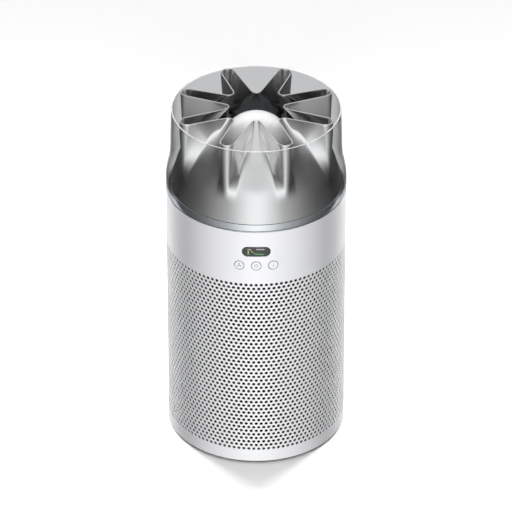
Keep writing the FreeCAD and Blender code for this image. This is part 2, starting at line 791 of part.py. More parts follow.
# ---- motor ----
winding_in = rotor_r + air_gap + winding_inset
winding_out = stator_r - winding_inset
nodes["motor_rotor"] = ring(rotor_r, shaft_r, stator_bottom, stator_top)
nodes["motor_windings"] = Part.makeCompound(
    [ring(winding_out, winding_in, stator_bottom - winding_h, stator_bottom - seat_gap),
     ring(winding_out, winding_in, stator_top + seat_gap, stator_top + winding_h)])


def make_motor_stator():
    stator = ring(stator_r, rotor_r + air_gap, stator_bottom, stator_top)
    slot = block(0, rotor_r + air_gap + stator_rim, stator_r - stator_rim, stator_slot_half_w,
                 stator_bottom - past, stator_top + past)
    return stator.cut(Part.makeCompound(around(slot, stator_slot_count)))


nodes["motor_stator"] = make_motor_stator()
pod_floor = pod_bottom + pod_wall
bearing_seat_r = bearing_r + screw_gap
nodes["lower_bearing"] = ring(bearing_r, shaft_r + running_gap, pod_floor, pod_floor + bearing_t)
nodes["upper_bearing"] = ring(bearing_r, shaft_r + running_gap, bracket_z, bracket_z + bearing_t)
motor_screw_places = at_places(motor_screw_place_r, (0, 90, 180, 270))


def make_motor_pod():
    pod = disc(pod_r, pod_bottom, pod_top).cut(disc(pod_r - pod_wall, pod_floor, pod_top + past))
    seat = ring(bearing_seat_r + pod_wall, bearing_seat_r, pod_bottom, pod_floor + bearing_t)
    cradle = ring(stator_r + pod_wall, stator_r + seat_gap, pod_bottom, stator_top - cradle_drop)
    bosses = [post(motor_boss_r, p.x, p.y, pod_bottom, bracket_z) for p in motor_screw_places]
    pod = pod.fuse([seat, cradle] + bosses).removeSplitter()
    for p in motor_screw_places:
        pod = pod.cut(post(screw_r + screw_gap, p.x, p.y, bracket_z - motor_hole_depth, bracket_z + sink))
    return pod.cut(disc(shaft_r + shaft_clear, pod_bottom - past, pod_floor + sink))


def make_motor_bracket():
    rim = pod_r - pod_wall - seat_gap
    bracket = ring(rim, bearing_seat_r, bracket_z, bracket_z + bracket_t)
    bracket = bracket.fuse(ring(bearing_seat_r + bracket_t, bearing_seat_r, bracket_z, shaft_top))
    window = block(45, bearing_seat_r + bracket_t + 2 * bracket_arm, motor_screw_place_r - bracket_arm,
                   bracket_window_half_w, bracket_z - past, bracket_z + past)
    bracket = bracket.cut(Part.makeCompound(around(window, 4)))
    for p in motor_screw_places:
        bracket = bracket.cut(post(screw_r + screw_gap, p.x, p.y, bracket_z - past, bracket_z + past))
    return bracket


nodes["motor_pod"] = make_motor_pod()
nodes["motor_bracket"] = make_motor_bracket()
bracket_top = bracket_z + bracket_t
nodes["motor_screws"] = Part.makeCompound(
    [screw(p.x, p.y, bracket_top, bracket_top + screw_head_h, bracket_z - motor_screw_bite, screw_r, screw_head_r)
     for p in motor_screw_places])
nodes["motor_board"] = ring(pod_r - motor_board_inset, motor_board_bore, motor_board_z,
                            motor_board_z + board_t)


def make_diffuser_vanes():
    inner_r = pod_r + seat_gap
    outer_r = duct_bore - seat_gap
    rings = [ring(inner_r + vane_ring_t, inner_r, vane_bottom, vane_top),
             ring(outer_r, outer_r - vane_ring_t, vane_bottom, vane_top)]
    middle = (vane_bottom + vane_top) / 2
    length = (vane_top - vane_bottom) / math.cos(math.radians(vane_tilt)) + past
    vane = Part.makeBox(outer_r - inner_r + 2 * past, vane_t, length,
                        V(inner_r - past, -vane_t / 2, middle - length / 2))
    vane.rotate(V(0, 0, middle), V(1, 0, 0), vane_tilt)
    gap = ring(outer_r - vane_ring_t / 2, inner_r + vane_ring_t / 2, vane_bottom, vane_top)
    vanes = [v.common(gap) for v in around(vane, vane_count)]
    return rings[0].fuse(rings[1:] + vanes).removeSplitter()


nodes["diffuser_vanes"] = make_diffuser_vanes()

# ---- shoulder ring, the foot of the head ----
spigot_r = bore_r - fit_gap
ledge_bottom = sleeve_top + seam_gap
ledge_top = ledge_bottom + ledge_t
ledge_r = sleeve_r - ledge_inset
glass_inner_foot = sleeve_r - glass_wall
groove_z = duct_top - groove_drop
groove_r = spigot_r - groove_depth


def make_shoulder_ring():
    inner_top_r = shoulder_top_r - shoulder_w
    shoulder = turned(
        (duct_bore, duct_top), (inner_top_r, shoulder_top), (shoulder_top_r, shoulder_top),
        (glass_inner_foot - seat_gap, ledge_top), (ledge_r, ledge_top), (ledge_r, ledge_bottom),
        (spigot_r, ledge_bottom), (spigot_r, ledge_bottom - spigot_h),
        (spigot_r - spigot_wall, ledge_bottom - spigot_h), (spigot_r - spigot_wall, duct_top))
    shoulder = shoulder.cut(ring(spigot_r + past, groove_r, groove_z, groove_z + groove_h))
    for p in lug_places:
        shoulder = shoulder.cut(post(screw_r + screw_gap, p.x, p.y, duct_top - past, head_screw_top))
    return shoulder


nodes["shoulder_ring"] = make_shoulder_ring()
nodes["head_gasket"] = ring(spigot_r, groove_r + seat_gap, groove_z + gasket_gap,
                            groove_z + groove_h - gasket_gap)
skirt_bottom = shoulder_top + nozzle_seal_t
nodes["nozzle_seal"] = ring(shoulder_top_r - nozzle_seal_inset,
                            shoulder_top_r - shoulder_w + nozzle_seal_inset, shoulder_top, skirt_bottom)


# ---- lobed nozzle ----
def on_circle(r, angle, z):
    """The point at radius r, angle radians from +X."""
    return V(r * math.cos(angle), r * math.sin(angle), z)


def turn(p, angle):
    """A point in a valley's own frame, whose x runs out along the valley, turned into place."""
    c, s = math.cos(angle), math.sin(angle)
    return V(p.x * c - p.y * s, p.x * s + p.y * c, p.z)


def valley_points(k, shift):
    """Half of valley k: (tip, tangent point, start of the slot's end) at the top, and the angle on
    the band where its side wall comes down. shift moves the wall's surface into the valley."""
    half_pitch = math.pi / valley_count
    long_valley = k % 2 == 0
    apex_r = long_apex_r if long_valley else short_apex_r
    fillet = (long_tip_fillet if long_valley else short_tip_fillet) - shift
    end_centre_r = slot_end_r - slot_half_w
    half_w = slot_half_w + shift
    end = V(end_centre_r * math.cos(half_pitch) + half_w * math.sin(half_pitch),
            end_centre_r * math.sin(half_pitch) - half_w * math.cos(half_pitch), 0)
    spread = math.atan2(end.y + shift * math.cos(half_pitch), end.x - apex_r)
    apex_r = apex_r + shift / math.sin(spread)
    spread = math.atan2(end.y, end.x - apex_r)
    tip = V(apex_r + fillet / math.sin(spread) - fillet, 0, 0)
    reach = fillet / math.tan(spread)
    tangent = V(apex_r + reach * math.cos(spread), reach * math.sin(spread), 0)
    r = band_r - nozzle_wall / 2 + shift
    to_band = math.sqrt(r ** 2 - (apex_r * math.sin(spread)) ** 2) - apex_r * math.cos(spread)
    corner = math.atan2(to_band * math.sin(spread), apex_r + to_band * math.cos(spread))
    return tip, tangent, end, corner


def top_outline(z, shift):
    """The star outline: a tip arc, two straight walls and a round slot end for each valley."""
    edges = []
    half_pitch = math.pi / valley_count
    up = V(0, 0, z)
    slot_r = slot_end_r + shift
    for k in range(valley_count):
        angle = 2 * half_pitch * k
        tip, tangent, end, _ = valley_points(k, shift)
        _, next_tangent, next_end, _ = valley_points(k + 1, shift)
        right = turn(V(tangent.x, -tangent.y, 0), angle) + up
        left = turn(tangent, angle) + up
        start = turn(end, angle) + up
        finish = turn(V(next_end.x, -next_end.y, 0), angle + 2 * half_pitch) + up
        following = turn(V(next_tangent.x, -next_tangent.y, 0), angle + 2 * half_pitch) + up
        edges.append(Part.Arc(right, turn(tip, angle) + up, left).toShape())
        edges.append(Part.makeLine(left, start))
        edges.append(Part.Arc(start, on_circle(slot_r, angle + half_pitch, z), finish).toShape())
        edges.append(Part.makeLine(finish, following))
    return Part.Wire(edges)


def band_outline(z, shift):
    """The circle at the foot of the lobes, divided where the star's own edges come down."""
    r = band_r - nozzle_wall / 2 + shift
    half_pitch = math.pi / valley_count
    span = math.radians(end_arc_span)
    stops = []
    for k in range(valley_count):
        angle = 2 * half_pitch * k
        corner = valley_points(k, shift)[3]
        next_corner = valley_points(k + 1, shift)[3]
        following = angle + 2 * half_pitch - next_corner
        stops += [angle - corner, angle + corner, angle + corner + span, following - span]
    stops.append(stops[0] + 2 * math.pi)
    edges = [Part.Arc(on_circle(r, a, z), on_circle(r, (a + b) / 2, z), on_circle(r, b, z)).toShape()
             for a, b in zip(stops, stops[1:])]
    return Part.Wire(edges)


def lobed_solid(shift, skirt_out):
    """The lobes and the skirt under them as one filled solid."""
    lobes = Part.makeLoft([band_outline(band_z, shift), top_outline(overall_h, shift)], True, True)
    r = band_r - nozzle_wall / 2 + shift
    middle = ((r + skirt_out) / 2 - skirt_waist, (band_z + skirt_bottom) / 2)
    skirt = revolve(lines((0, band_z), (0, skirt_bottom), (skirt_out, skirt_bottom))
                    + [arc((skirt_out, skirt_bottom), middle, (r, band_z))]
                    + lines((r, band_z), (0, band_z)))
    return lobes, skirt


def make_lobed_nozzle():
    outer_lobes, outer_skirt = lobed_solid(nozzle_wall / 2, skirt_r)
    inner_lobes, inner_skirt = lobed_solid(-nozzle_wall / 2, skirt_r - nozzle_wall)
    lobes = outer_lobes.cut(inner_lobes)
    skirt = outer_skirt.cut(inner_skirt)
    return lobes.fuse(skirt)


nodes["lobed_nozzle"] = make_lobed_nozzle()


# ---- clear shroud ----
def glass_profile(inset):
    """The shroud's side from its foot to its rim: straight, an S-curve inwards, then nearly upright."""
    foot = V(sleeve_r - inset, 0, ledge_top)
    shoulder = V(sleeve_r - inset, 0, glass_shoulder_z)
    neck = V(glass_neck_r - inset, 0, glass_neck_z)
    rim = V(glass_top_r - inset, 0, glass_top)
    rise = glass_neck_z - glass_shoulder_z
    curve = Part.BezierCurve()
    curve.setPoles([shoulder, shoulder + V(0, 0, glass_foot_pull * rise),
                    neck + V(glass_lean, 0, -glass_neck_pull * rise), neck])
    return [Part.makeLine(foot, shoulder), curve.toShape(), Part.makeLine(neck, rim)]


def make_clear_shroud():
    outer = glass_profile(0)
    inner = glass_profile(glass_wall)
    top = lines((glass_top_r - glass_wall, glass_top), (glass_top_r, glass_top))
    foot = lines((sleeve_r - glass_wall, ledge_top), (sleeve_r, ledge_top))
    shroud = revolve(Part.__sortEdges__(outer + inner + top + foot))
    rim = [e for e in shroud.Edges if abs(e.BoundBox.ZMin - glass_top) < 1e-4
           and abs(e.BoundBox.ZMax - glass_top) < 1e-4]
    return shroud.makeFillet(glass_rim_fillet, rim)


nodes["clear_shroud"] = make_clear_shroud()


# ---- centre dome, which closes the pod ----
def make_centre_dome():
    edge = math.sqrt(0.5)
    inner = dome_r - dome_wall
    foot = pod_top + seam_gap
    return revolve(
        lines((pod_r - dome_wall, foot), (pod_r, foot), (dome_r, dome_foot_z), (dome_r, dome_centre_z))
        + [arc((dome_r, dome_centre_z), (dome_r * edge, dome_centre_z + dome_r * edge),
               (0, dome_centre_z + dome_r))]
        + lines((0, dome_centre_z + dome_r), (0, dome_centre_z + inner))
        + [arc((0, dome_centre_z + inner), (inner * edge, dome_centre_z + inner * edge),
               (inner, dome_centre_z))]
        + lines((inner, dome_centre_z), (inner, dome_foot_z), (pod_r - dome_wall, foot)))


nodes["centre_dome"] = make_centre_dome()

# ---- write one file for each piece ----
for name, shape in nodes.items():
    assert shape.isValid(), name
    assert shape.Solids, name
    shape.exportStep("parts/" + name + ".step")
    print(name, len(shape.Solids), round(shape.Volume / 1000, 2), "cm3")
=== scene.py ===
"""Looks of a cylindrical air purifier: perforated sleeve, lobed nozzle, clear shroud, dome, buttons,
display and stage."""
import json
import math

import bpy
import numpy as np
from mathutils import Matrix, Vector


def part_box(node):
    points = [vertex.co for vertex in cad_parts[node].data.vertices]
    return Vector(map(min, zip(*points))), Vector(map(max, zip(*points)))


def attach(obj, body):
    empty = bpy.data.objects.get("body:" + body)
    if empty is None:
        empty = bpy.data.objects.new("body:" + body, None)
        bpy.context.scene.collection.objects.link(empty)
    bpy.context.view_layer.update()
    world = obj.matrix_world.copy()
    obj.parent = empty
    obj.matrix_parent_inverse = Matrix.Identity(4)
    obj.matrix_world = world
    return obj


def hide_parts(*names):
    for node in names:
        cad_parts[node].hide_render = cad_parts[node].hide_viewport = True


bl_info = {
    "name": "Air Purifier Looks",
    "version": (1, 0, 0),
    "blender": (4, 5, 0),
    "location": "3D View > Sidebar > Purifier",
    "description": "Builds the visible surfaces and finishes of a cylindrical air purifier round its frame",
    "category": "Object",
}

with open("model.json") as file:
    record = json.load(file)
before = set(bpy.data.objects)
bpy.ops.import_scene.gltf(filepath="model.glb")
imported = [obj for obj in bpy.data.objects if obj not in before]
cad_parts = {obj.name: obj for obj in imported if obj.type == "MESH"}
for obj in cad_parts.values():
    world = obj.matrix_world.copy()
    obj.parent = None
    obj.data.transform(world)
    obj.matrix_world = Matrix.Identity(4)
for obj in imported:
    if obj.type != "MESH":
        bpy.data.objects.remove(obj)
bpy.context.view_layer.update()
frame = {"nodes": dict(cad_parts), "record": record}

MM = 0.001
FULL_TURN = 2 * math.pi


def top_of(node):
    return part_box(node)[1].z / MM


def bottom_of(node):
    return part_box(node)[0].z / MM


def radius_of(node):
    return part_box(node)[1].x / MM


SLEEVE_R = radius_of("shoulder_ring") + 0.2
SLEEVE_TOP = top_of("outer_sleeve")
SLEEVE_BOTTOM = bottom_of("outer_sleeve")
NOZZLE_TOP = top_of("lobed_nozzle")
NOZZLE_BOTTOM = bottom_of("lobed_nozzle")
GLASS_TOP = top_of("clear_shroud")
GLASS_BOTTOM = bottom_of("clear_shroud")
DOME_TOP = top_of("centre_dome")
DOME_BOTTOM = bottom_of("centre_dome")
SHOULDER_TOP = top_of("shoulder_ring")
BUTTON_Z = (bottom_of("power_button") + top_of("power_button")) / 2
BUTTONS = {"fan_button": -10.8, "power_button": 0.0, "info_button": 10.8}
EDGE_GAP = 0.15            # between a window's edge and the piece that fills it
BUTTON_HOLE_R = 6.45
PRINT_AND_SHADE_LINE = 0.32          # half the width of a printed line on a button, and of the painted shade ring round its edge


def capsule(node):
    """The capsule in a node's box: (half length of its straight part, radius, height of its middle)."""
    low, high = (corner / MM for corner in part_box(node))
    radius = (high.z - low.z) / 2
    return (high.x - low.x) / 2 - radius, radius, (high.z + low.z) / 2


def window(node):
    """The capsule of the opening that a node fills."""
    straight, radius, z = capsule(node)
    return straight, radius + EDGE_GAP, z


LENS_Z = capsule("display_lens")[2]


# ---- settings
def length_setting(label, text, default, **limits):
    return bpy.props.FloatProperty(
        name=label, description=text + ", in millimetres", default=default, **limits)


def power_setting(label, text, default):
    return bpy.props.FloatProperty(
        name=label, description=f"Power of {text}, in watts", default=default, subtype="POWER")


def colour_setting(label, text, default):
    return bpy.props.FloatVectorProperty(
        name=label, description="Colour of the " + text, subtype="COLOR", size=3, default=default)


class PurifierSettings(bpy.types.PropertyGroup):
    """Sizes and colours that a user would change."""
    hole_diameter: length_setting(
        "Hole diameter", "Diameter of one hole in the sleeve", 4.2, min=1.0, max=5.0)
    hole_depth: length_setting("Hole depth", "Depth of the holes above the tray", 2.3)
    holes_around: bpy.props.IntProperty(
        name="Holes around", description="Number of holes in one row round the sleeve",
        default=112, min=24, max=160)
    hole_rows: bpy.props.IntProperty(
        name="Rows of holes", description="Number of rows of holes up the sleeve", default=46, min=4, max=60)
    first_row: length_setting("Lowest row", "Height of the lowest row of holes", 22.1)
    row_pitch: length_setting("Row pitch", "Distance between two rows of holes", 5.457)
    sleeve_wall: length_setting("Sleeve wall", "Thickness of the sleeve", 1.25)
    sleeve_colour: colour_setting("Sleeve", "lacquered sleeve", (0.85, 0.855, 0.87))
    metal_colour: colour_setting("Nozzle", "nickel-plated nozzle", (0.80, 0.80, 0.80))
    slate_colour: colour_setting("Shoulder", "slate shoulder ring", (0.82, 0.86, 0.90))


class StageSettings(bpy.types.PropertyGroup):
    """The light and the camera."""
    key_power: power_setting("Key light", "the tall light in front", 2.9)
    top_power: power_setting("Top light", "the soft light above", 86.0)
    rim_power: power_setting("Rim lights", "each tall light at the rear sides", 9.5)
    back_power: power_setting("Back light", "the tall light behind", 0.5)
    fill: bpy.props.FloatProperty(
        name="Fill", description="Brightness of the room on matt surfaces", default=0.09, min=0.0, max=1.0)
    lens: length_setting("Lens", "Focal length of the camera", 308.54)


# ---- meshes
def join(parts):
    """One (points, faces) pair from several. Faces are quads, and a triangle's last index is -1."""
    points, faces, start = [], [], 0
    for p, f in parts:
        points.append(p)
        faces.append(np.where(f >= 0, f + start, -1))
        start += len(p)
    return np.concatenate(points), np.concatenate(faces)


def weld(points, faces):
    """Merges points closer than a tenth of a micrometre and drops the corners that collapse."""
    keys = np.round(points * 1e4).astype(np.int64)
    _, first, inverse = np.unique(keys, axis=0, return_index=True, return_inverse=True)
    inverse = inverse.ravel()
    welded = np.where(faces >= 0, inverse[faces], -1)
    return points[first], welded


def grid_faces(rows, columns, wrap_rows=False, wrap_columns=False):
    """Quads over a grid of rows by columns points, numbered row by row."""
    i = np.arange(rows if wrap_rows else rows - 1)[:, None]
    j = np.arange(columns if wrap_columns else columns - 1)[None, :]
    i2, j2 = (i + 1) % rows, (j + 1) % columns
    quads = np.stack([i * columns + j, i * columns + j2, i2 * columns + j2, i2 * columns + j], axis=-1)
    return quads.reshape(-1, 4)


def grid(points, wrap_rows=False, wrap_columns=False):
    """(points, faces) of an array of points with the shape (rows, columns, 3)."""
    rows, columns = points.shape[:2]
    return points.reshape(-1, 3), grid_faces(rows, columns, wrap_rows, wrap_columns)


def with_wall(outside, inside, faces):
    """A closed shell from a sheet's outer points, the matching inner points and the sheet's faces.
    Each edge that only one face uses gets a wall from outside to inside."""
    count = len(outside)
    corners = [faces[:, k] for k in range(4)]
    last = np.where(faces[:, 3] < 0, faces[:, 2], faces[:, 3])
    edges = [(corners[0], corners[1]), (corners[1], corners[2]), (corners[2], last), (last, corners[0])]
    a = np.concatenate([e[0] for e in edges])
    b = np.concatenate([e[1] for e in edges])
    real = a != b
    a, b = a[real], b[real]
    code, reverse = a * count + b, b * count + a
    rim = ~np.isin(code, reverse)
    a, b = a[rim], b[rim]
    walls = np.stack([b, a, a + count, b + count], axis=1)
    flipped = faces[:, ::-1].copy()
    triangles = faces[:, 3] < 0
    flipped[triangles] = np.stack(
        [faces[triangles, 2], faces[triangles, 1], faces[triangles, 0], faces[triangles, 3]], axis=1)
    back = np.where(flipped >= 0, flipped + count, -1)
    return np.concatenate([outside, inside]), np.concatenate([faces, back, walls])


def signed_volume(points, faces):
    a, b, c = (points[faces[:, k]] for k in range(3))
    volume = np.einsum("ij,ij->i", a, np.cross(b, c)).sum()
    quads = faces[:, 3] >= 0
    a, c, d = points[faces[quads, 0]], points[faces[quads, 2]], points[faces[quads, 3]]
    return volume + np.einsum("ij,ij->i", a, np.cross(c, d)).sum()


def new_object(name, shape, material, crease=32.0):
    """A smooth object, in metres, from (points, faces) in millimetres. A corner that the weld joined to an
    earlier one of its face is left out, and a face with fewer than three corners with it."""
    points, faces = weld(*shape)
    keep = faces >= 0
    for k in range(1, 4):
        keep[:, k] &= (faces[:, k:k + 1] != faces[:, :k]).all(axis=1)
    if signed_volume(points, faces) < 0:
        faces, keep = faces[:, ::-1], keep[:, ::-1]
    whole = keep.sum(axis=1) > 2
    faces, keep = faces[whole], keep[whole]
    sizes = keep.sum(axis=1)
    mesh = bpy.data.meshes.new(name)
    mesh.vertices.add(len(points))
    mesh.vertices.foreach_set("co", (points * MM).ravel())
    mesh.loops.add(int(sizes.sum()))
    mesh.loops.foreach_set("vertex_index", faces[keep])
    mesh.polygons.add(len(faces))
    mesh.polygons.foreach_set("loop_start", np.cumsum(sizes) - sizes)
    mesh.update(calc_edges=True)
    mesh.validate()
    mesh.shade_smooth()
    mesh.set_sharp_from_angle(angle=math.radians(crease))
    mesh.materials.append(material)
    made = bpy.data.objects.new(name, mesh)
    bpy.context.scene.collection.objects.link(made)
    return made


def piece(name, shape, body, slot, stands_for=(), crease=32.0, material=None):
    """A finished object that rides on a body, in its slot's finish unless it has a material of its own."""
    made = new_object(name, shape, material or finish(slot), crease)
    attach(made, body)
    if stands_for:
        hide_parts(*stands_for)


def rounded(corners, steps=5):
    """A closed profile with its corners rounded. Each corner is (radius, height, fillet): the fillet is an
    arc that touches both sides, worked out from the bisector of the two sides."""
    points = []
    count = len(corners)
    for k, (x, y, fillet) in enumerate(corners):
        here = np.array((x, y), float)
        if fillet <= 0:
            points.append(here)
            continue
        before = np.array(corners[k - 1][:2], float) - here
        after = np.array(corners[(k + 1) % count][:2], float) - here
        u, w = before / np.linalg.norm(before), after / np.linalg.norm(after)
        half = math.acos(np.clip(u @ w, -1, 1)) / 2
        reach = fillet / math.tan(half)
        middle = here + (u + w) / np.linalg.norm(u + w) * fillet / math.sin(half)
        start, end = here + u * reach - middle, here + w * reach - middle
        turn = math.atan2(start[0] * end[1] - start[1] * end[0], start @ end)
        for t in np.linspace(0, turn, steps + 1):
            c, s = math.cos(t), math.sin(t)
            points.append(middle + np.array((c * start[0] - s * start[1], s * start[0] + c * start[1])))
    return np.array(points)


def lathe(profile, segments=256):
    """Turns a closed profile of (radius, height) points about the axis: x = r cos a, y = r sin a."""
    a = np.linspace(0, FULL_TURN, segments, endpoint=False)[None, :]
    r, z = profile[:, :1], profile[:, 1:]
    points = np.stack([r * np.cos(a), r * np.sin(a), z + 0 * a], axis=-1)
    return grid(points, wrap_rows=True, wrap_columns=True)


def on_sleeve(azimuth, z, r=SLEEVE_R):
    """Points at an azimuth from the front, in degrees, and a height: x = r sin a, y = -r cos a."""
    a = np.radians(azimuth)
    return np.stack([r * np.sin(a), -r * np.cos(a), z + 0 * a], axis=-1)


# ---- shaders
def math_node(operation):
    """A method that adds a Math node of that kind for a value and its operands."""
    def method(self, *others):
        return self.finish.node("ShaderNodeMath", {"operation": operation}, dict(enumerate((self, *others))))
    return method


class Value:
    """A node's output that does arithmetic: each operator adds the Math node that it needs."""
    __add__ = __radd__ = math_node("ADD")
    __mul__ = __rmul__ = math_node("MULTIPLY")
    __sub__ = math_node("SUBTRACT")
    __truediv__ = math_node("DIVIDE")
    __pow__ = math_node("POWER")
    __lt__ = math_node("LESS_THAN")
    __gt__ = math_node("GREATER_THAN")
    abs = math_node("ABSOLUTE")
    sin = math_node("SINE")
    max = math_node("MAXIMUM")
    min = math_node("MINIMUM")
    angle = math_node("ARCTAN2")

    def __init__(self, finish, socket):
        self.finish, self.socket = finish, socket

    def __rsub__(self, other):
        return self.finish.node("ShaderNodeMath", {"operation": "SUBTRACT"}, {0: other, 1: self})

    def wrap(self, low, high):
        return self.finish.node("ShaderNodeMath", {"operation": "WRAP"}, {0: self, 1: high, 2: low})

    def clamp(self):
        return self.finish.node("ShaderNodeClamp", {}, {"Value": self})


class Finish:
    """A material or world under construction."""

    def __init__(self, name, world=False):
        self.block = bpy.data.worlds.new(name) if world else bpy.data.materials.new(name)
        self.block.use_nodes = True
        self.tree = self.block.node_tree
        self.tree.nodes.clear()

    def node(self, kind, settings, inputs, output=0):
        """Adds a node. Settings go first, a ramp's as {"ramp": [(place, colour), ...]}; inputs are values or
        links by name or number. Returns the chosen output as a Value."""
        made = self.tree.nodes.new(kind)
        for key, value in settings.items():
            if key == "ramp":
                stops = made.color_ramp.elements
                for k, (place, colour) in enumerate(value):
                    stop = stops[k] if k < 2 else stops.new(place)
                    stop.position = place
                    stop.color = (*colour, 1.0)
            else:
                setattr(made, key, value)
        for key, value in inputs.items():
            if isinstance(value, Value):
                self.tree.links.new(value.socket, made.inputs[key])
            else:
                made.inputs[key].default_value = value
        return Value(self, made.outputs[output]) if made.outputs else None

    def place(self):
        """The Object coordinates in millimetres, as (vector, x, y, z)."""
        raw = self.node("ShaderNodeTexCoord", {}, {}, "Object")
        vector = self.node("ShaderNodeVectorMath", {"operation": "SCALE"}, {0: raw, "Scale": 1 / MM})
        return (vector, *self.split(vector))

    def split(self, vector):
        parts = self.node("ShaderNodeSeparateXYZ", {}, {0: vector}).socket.node
        return [Value(self, out) for out in parts.outputs]

    def noise(self, vector, scale, detail=2.0, roughness=0.5):
        """Soft noise from 0 to 1 with a grain of 1 / scale millimetres."""
        return self.node("ShaderNodeTexNoise", {}, {
            "Vector": vector, "Scale": scale, "Detail": detail, "Roughness": roughness})

    def combine(self, x, y, z):
        return self.node("ShaderNodeCombineXYZ", {}, {0: x, 1: y, 2: z})

    def cells(self, vector, scale):
        """The distance to the nearest of scattered points."""
        inputs = {"Vector": vector, "Scale": scale}
        return self.node("ShaderNodeTexVoronoi", {"feature": "F1"}, inputs, "Distance")

    def mix(self, share, a, b):
        """Colour a where share is 0 and b where it is 1."""
        made = self.tree.nodes.new("ShaderNodeMix")
        made.data_type = "RGBA"
        for socket, value in ((made.inputs[0], share), (made.inputs[6], a), (made.inputs[7], b)):
            if isinstance(value, Value):
                self.tree.links.new(value.socket, socket)
            elif isinstance(value, (int, float)):
                socket.default_value = value
            else:
                socket.default_value = (*value, 1.0)
        return Value(self, made.outputs[2])

    def bump(self, height, strength, distance):
        """A normal from a height; distance is the height's full depth in millimetres."""
        return self.node("ShaderNodeBump", {}, {
            "Height": height, "Strength": strength, "Distance": distance * MM})

    def shader(self, **sockets):
        """A Principled shader. Socket names have _ for a space."""
        inputs = {}
        for key, value in sockets.items():
            if isinstance(value, tuple) and len(value) == 3:
                value = (*value, 1.0)
            inputs[key.replace("_", " ")] = value
        return self.node("ShaderNodeBsdfPrincipled", {}, inputs)

    def output(self, shader):
        """Ends the material in that shader."""
        self.node("ShaderNodeOutputMaterial", {}, {"Surface": shader})
        return self.block

    def surface(self, **sockets):
        """Ends the material in one Principled shader."""
        return self.output(self.shader(**sockets))


def shaded(colour, factor):
    return tuple(min(1.0, factor * c) for c in colour)


def lacquer(name, colour, roughness=0.34):
    """Satin lacquer: a faint orange-peel bump and a barely uneven sheen. Painted shade: the colour darkens
    with depth into the wall, so the holes' walls and the sleeve's inside look shaded."""
    f = Finish(name)
    vector, x, y, _ = f.place()
    peel = f.noise(vector, 0.9, 3.0)
    cloud = f.noise(vector, 0.03, 2.0)
    shade = f.mix(cloud, shaded(colour, 0.985), shaded(colour, 1.01))
    # Painted shade: from 0.45 mm into the wall the colour fades to near black over 0.9 mm. This stands in for
    # the shade inside the holes and behind the sleeve.
    depth = SLEEVE_R - (x * x + y * y) ** 0.5
    painted_shade_start, painted_shade_fade = 0.45, 0.9
    shade = f.mix(((depth - painted_shade_start) / painted_shade_fade).clamp(), shade, (0.02, 0.02, 0.022))
    return f.surface(
        Base_Color=shade, Roughness=roughness - 0.03 + 0.06 * cloud,
        Normal=f.bump(peel, 0.12, 0.02), Specular_IOR_Level=0.5)


def moulding(name, colour, roughness=0.45, grain=0.05, grain_scale=3.0):
    """Moulded plastic with a fine spark-eroded grain and slightly shinier high spots."""
    f = Finish(name)
    vector, *_ = f.place()
    fine = f.noise(vector, grain_scale, 4.0, 0.65)
    broad = f.noise(vector, 0.05, 2.0)
    shade = f.mix(broad, shaded(colour, 0.95), shaded(colour, 1.04))
    return f.surface(
        Base_Color=shade, Roughness=roughness + 0.1 * (fine - 0.5), Normal=f.bump(fine, 0.3, grain))


def nickel(name, colour, roughness=0.17):
    """Satin nickel plate: a soft sheen, slightly uneven where it was polished."""
    f = Finish(name)
    vector, *_ = f.place()
    cloud = f.noise(vector, 0.04, 3.0)
    shade = f.mix(cloud, shaded(colour, 0.97), colour)
    return f.surface(Base_Color=shade, Metallic=1.0, Roughness=roughness + 0.05 * cloud)


def clear(name):
    """Clear plastic with a faint haze, a pale band round its rim that is a painted highlight, and a pale
    painted sheen where it is edge on.
    """
    f = Finish(name)
    vector, _, _, z = f.place()
    haze = f.noise(vector, 0.05, 2.0)
    polished = f.shader(
        Base_Color=(0.96, 0.965, 0.97), Transmission_Weight=1.0, IOR=1.16, Roughness=0.015 * haze)
    # Painted highlight: a pale opaque shader is mixed in on the rim's top band and where the wall is edge on.
    # It stands in for the bright edges of clear plastic.
    pale_highlight = f.shader(Base_Color=(0.84, 0.85, 0.86), Roughness=0.3 + 0.1 * haze)
    band, edge_on = 0.35, 0.72
    # The rim's top 0.35 mm takes the painted highlight at a share of 0.55.
    rim = 0.55 * (z > GLASS_TOP - band)
    facing = f.node("ShaderNodeLayerWeight", {}, {"Blend": 0.5}, "Facing")
    sheen = 0.7 * ((facing - edge_on) / (1 - edge_on)).clamp() ** 2
    return f.output(f.node("ShaderNodeMixShader", {}, {0: rim.max(sheen), 1: polished, 2: pale_highlight}))


def rubber(name, colour=(0.03, 0.03, 0.032)):
    """Matt rubber with fine bloom."""
    f = Finish(name)
    vector, *_ = f.place()
    bloom = f.noise(vector, 1.2, 4.0, 0.7)
    shade = f.mix(bloom, colour, shaded(colour, 1.6))
    return f.surface(Base_Color=shade, Roughness=0.72 + 0.12 * bloom, Normal=f.bump(bloom, 0.35, 0.05))


def plain_metal(name, colour, roughness=0.3, line_axis=2, line_scale=1.5):
    """Machined metal: fine tool lines across one axis."""
    f = Finish(name)
    vector, *xyz = f.place()
    lines = f.noise(f.combine(xyz[line_axis] * line_scale, 0.0, 0.0), 2.0, 3.0)
    wear = f.noise(vector, 0.4, 3.0)
    shade = f.mix(wear, shaded(colour, 0.9), colour)
    return f.surface(
        Base_Color=shade, Metallic=1.0, Roughness=roughness + 0.12 * (lines - 0.5) + 0.05 * wear,
        Normal=f.bump(lines, 0.15, 0.02))


def laminations(name):
    """Stacked steel sheets: dark joints every 0.7 mm up the stack, with a little rust-free sheen."""
    f = Finish(name)
    vector, *_, z = f.place()
    sheet = 0.7
    joint = (z * (FULL_TURN / sheet)).sin() * 0.5 + 0.5
    spots = f.noise(vector, 0.8, 3.0)
    shade = f.mix(joint ** 0.5, (0.05, 0.05, 0.055), (0.32, 0.32, 0.33))
    return f.surface(
        Base_Color=shade, Metallic=0.85, Roughness=0.42 + 0.15 * spots, Normal=f.bump(joint, 0.5, 0.08))


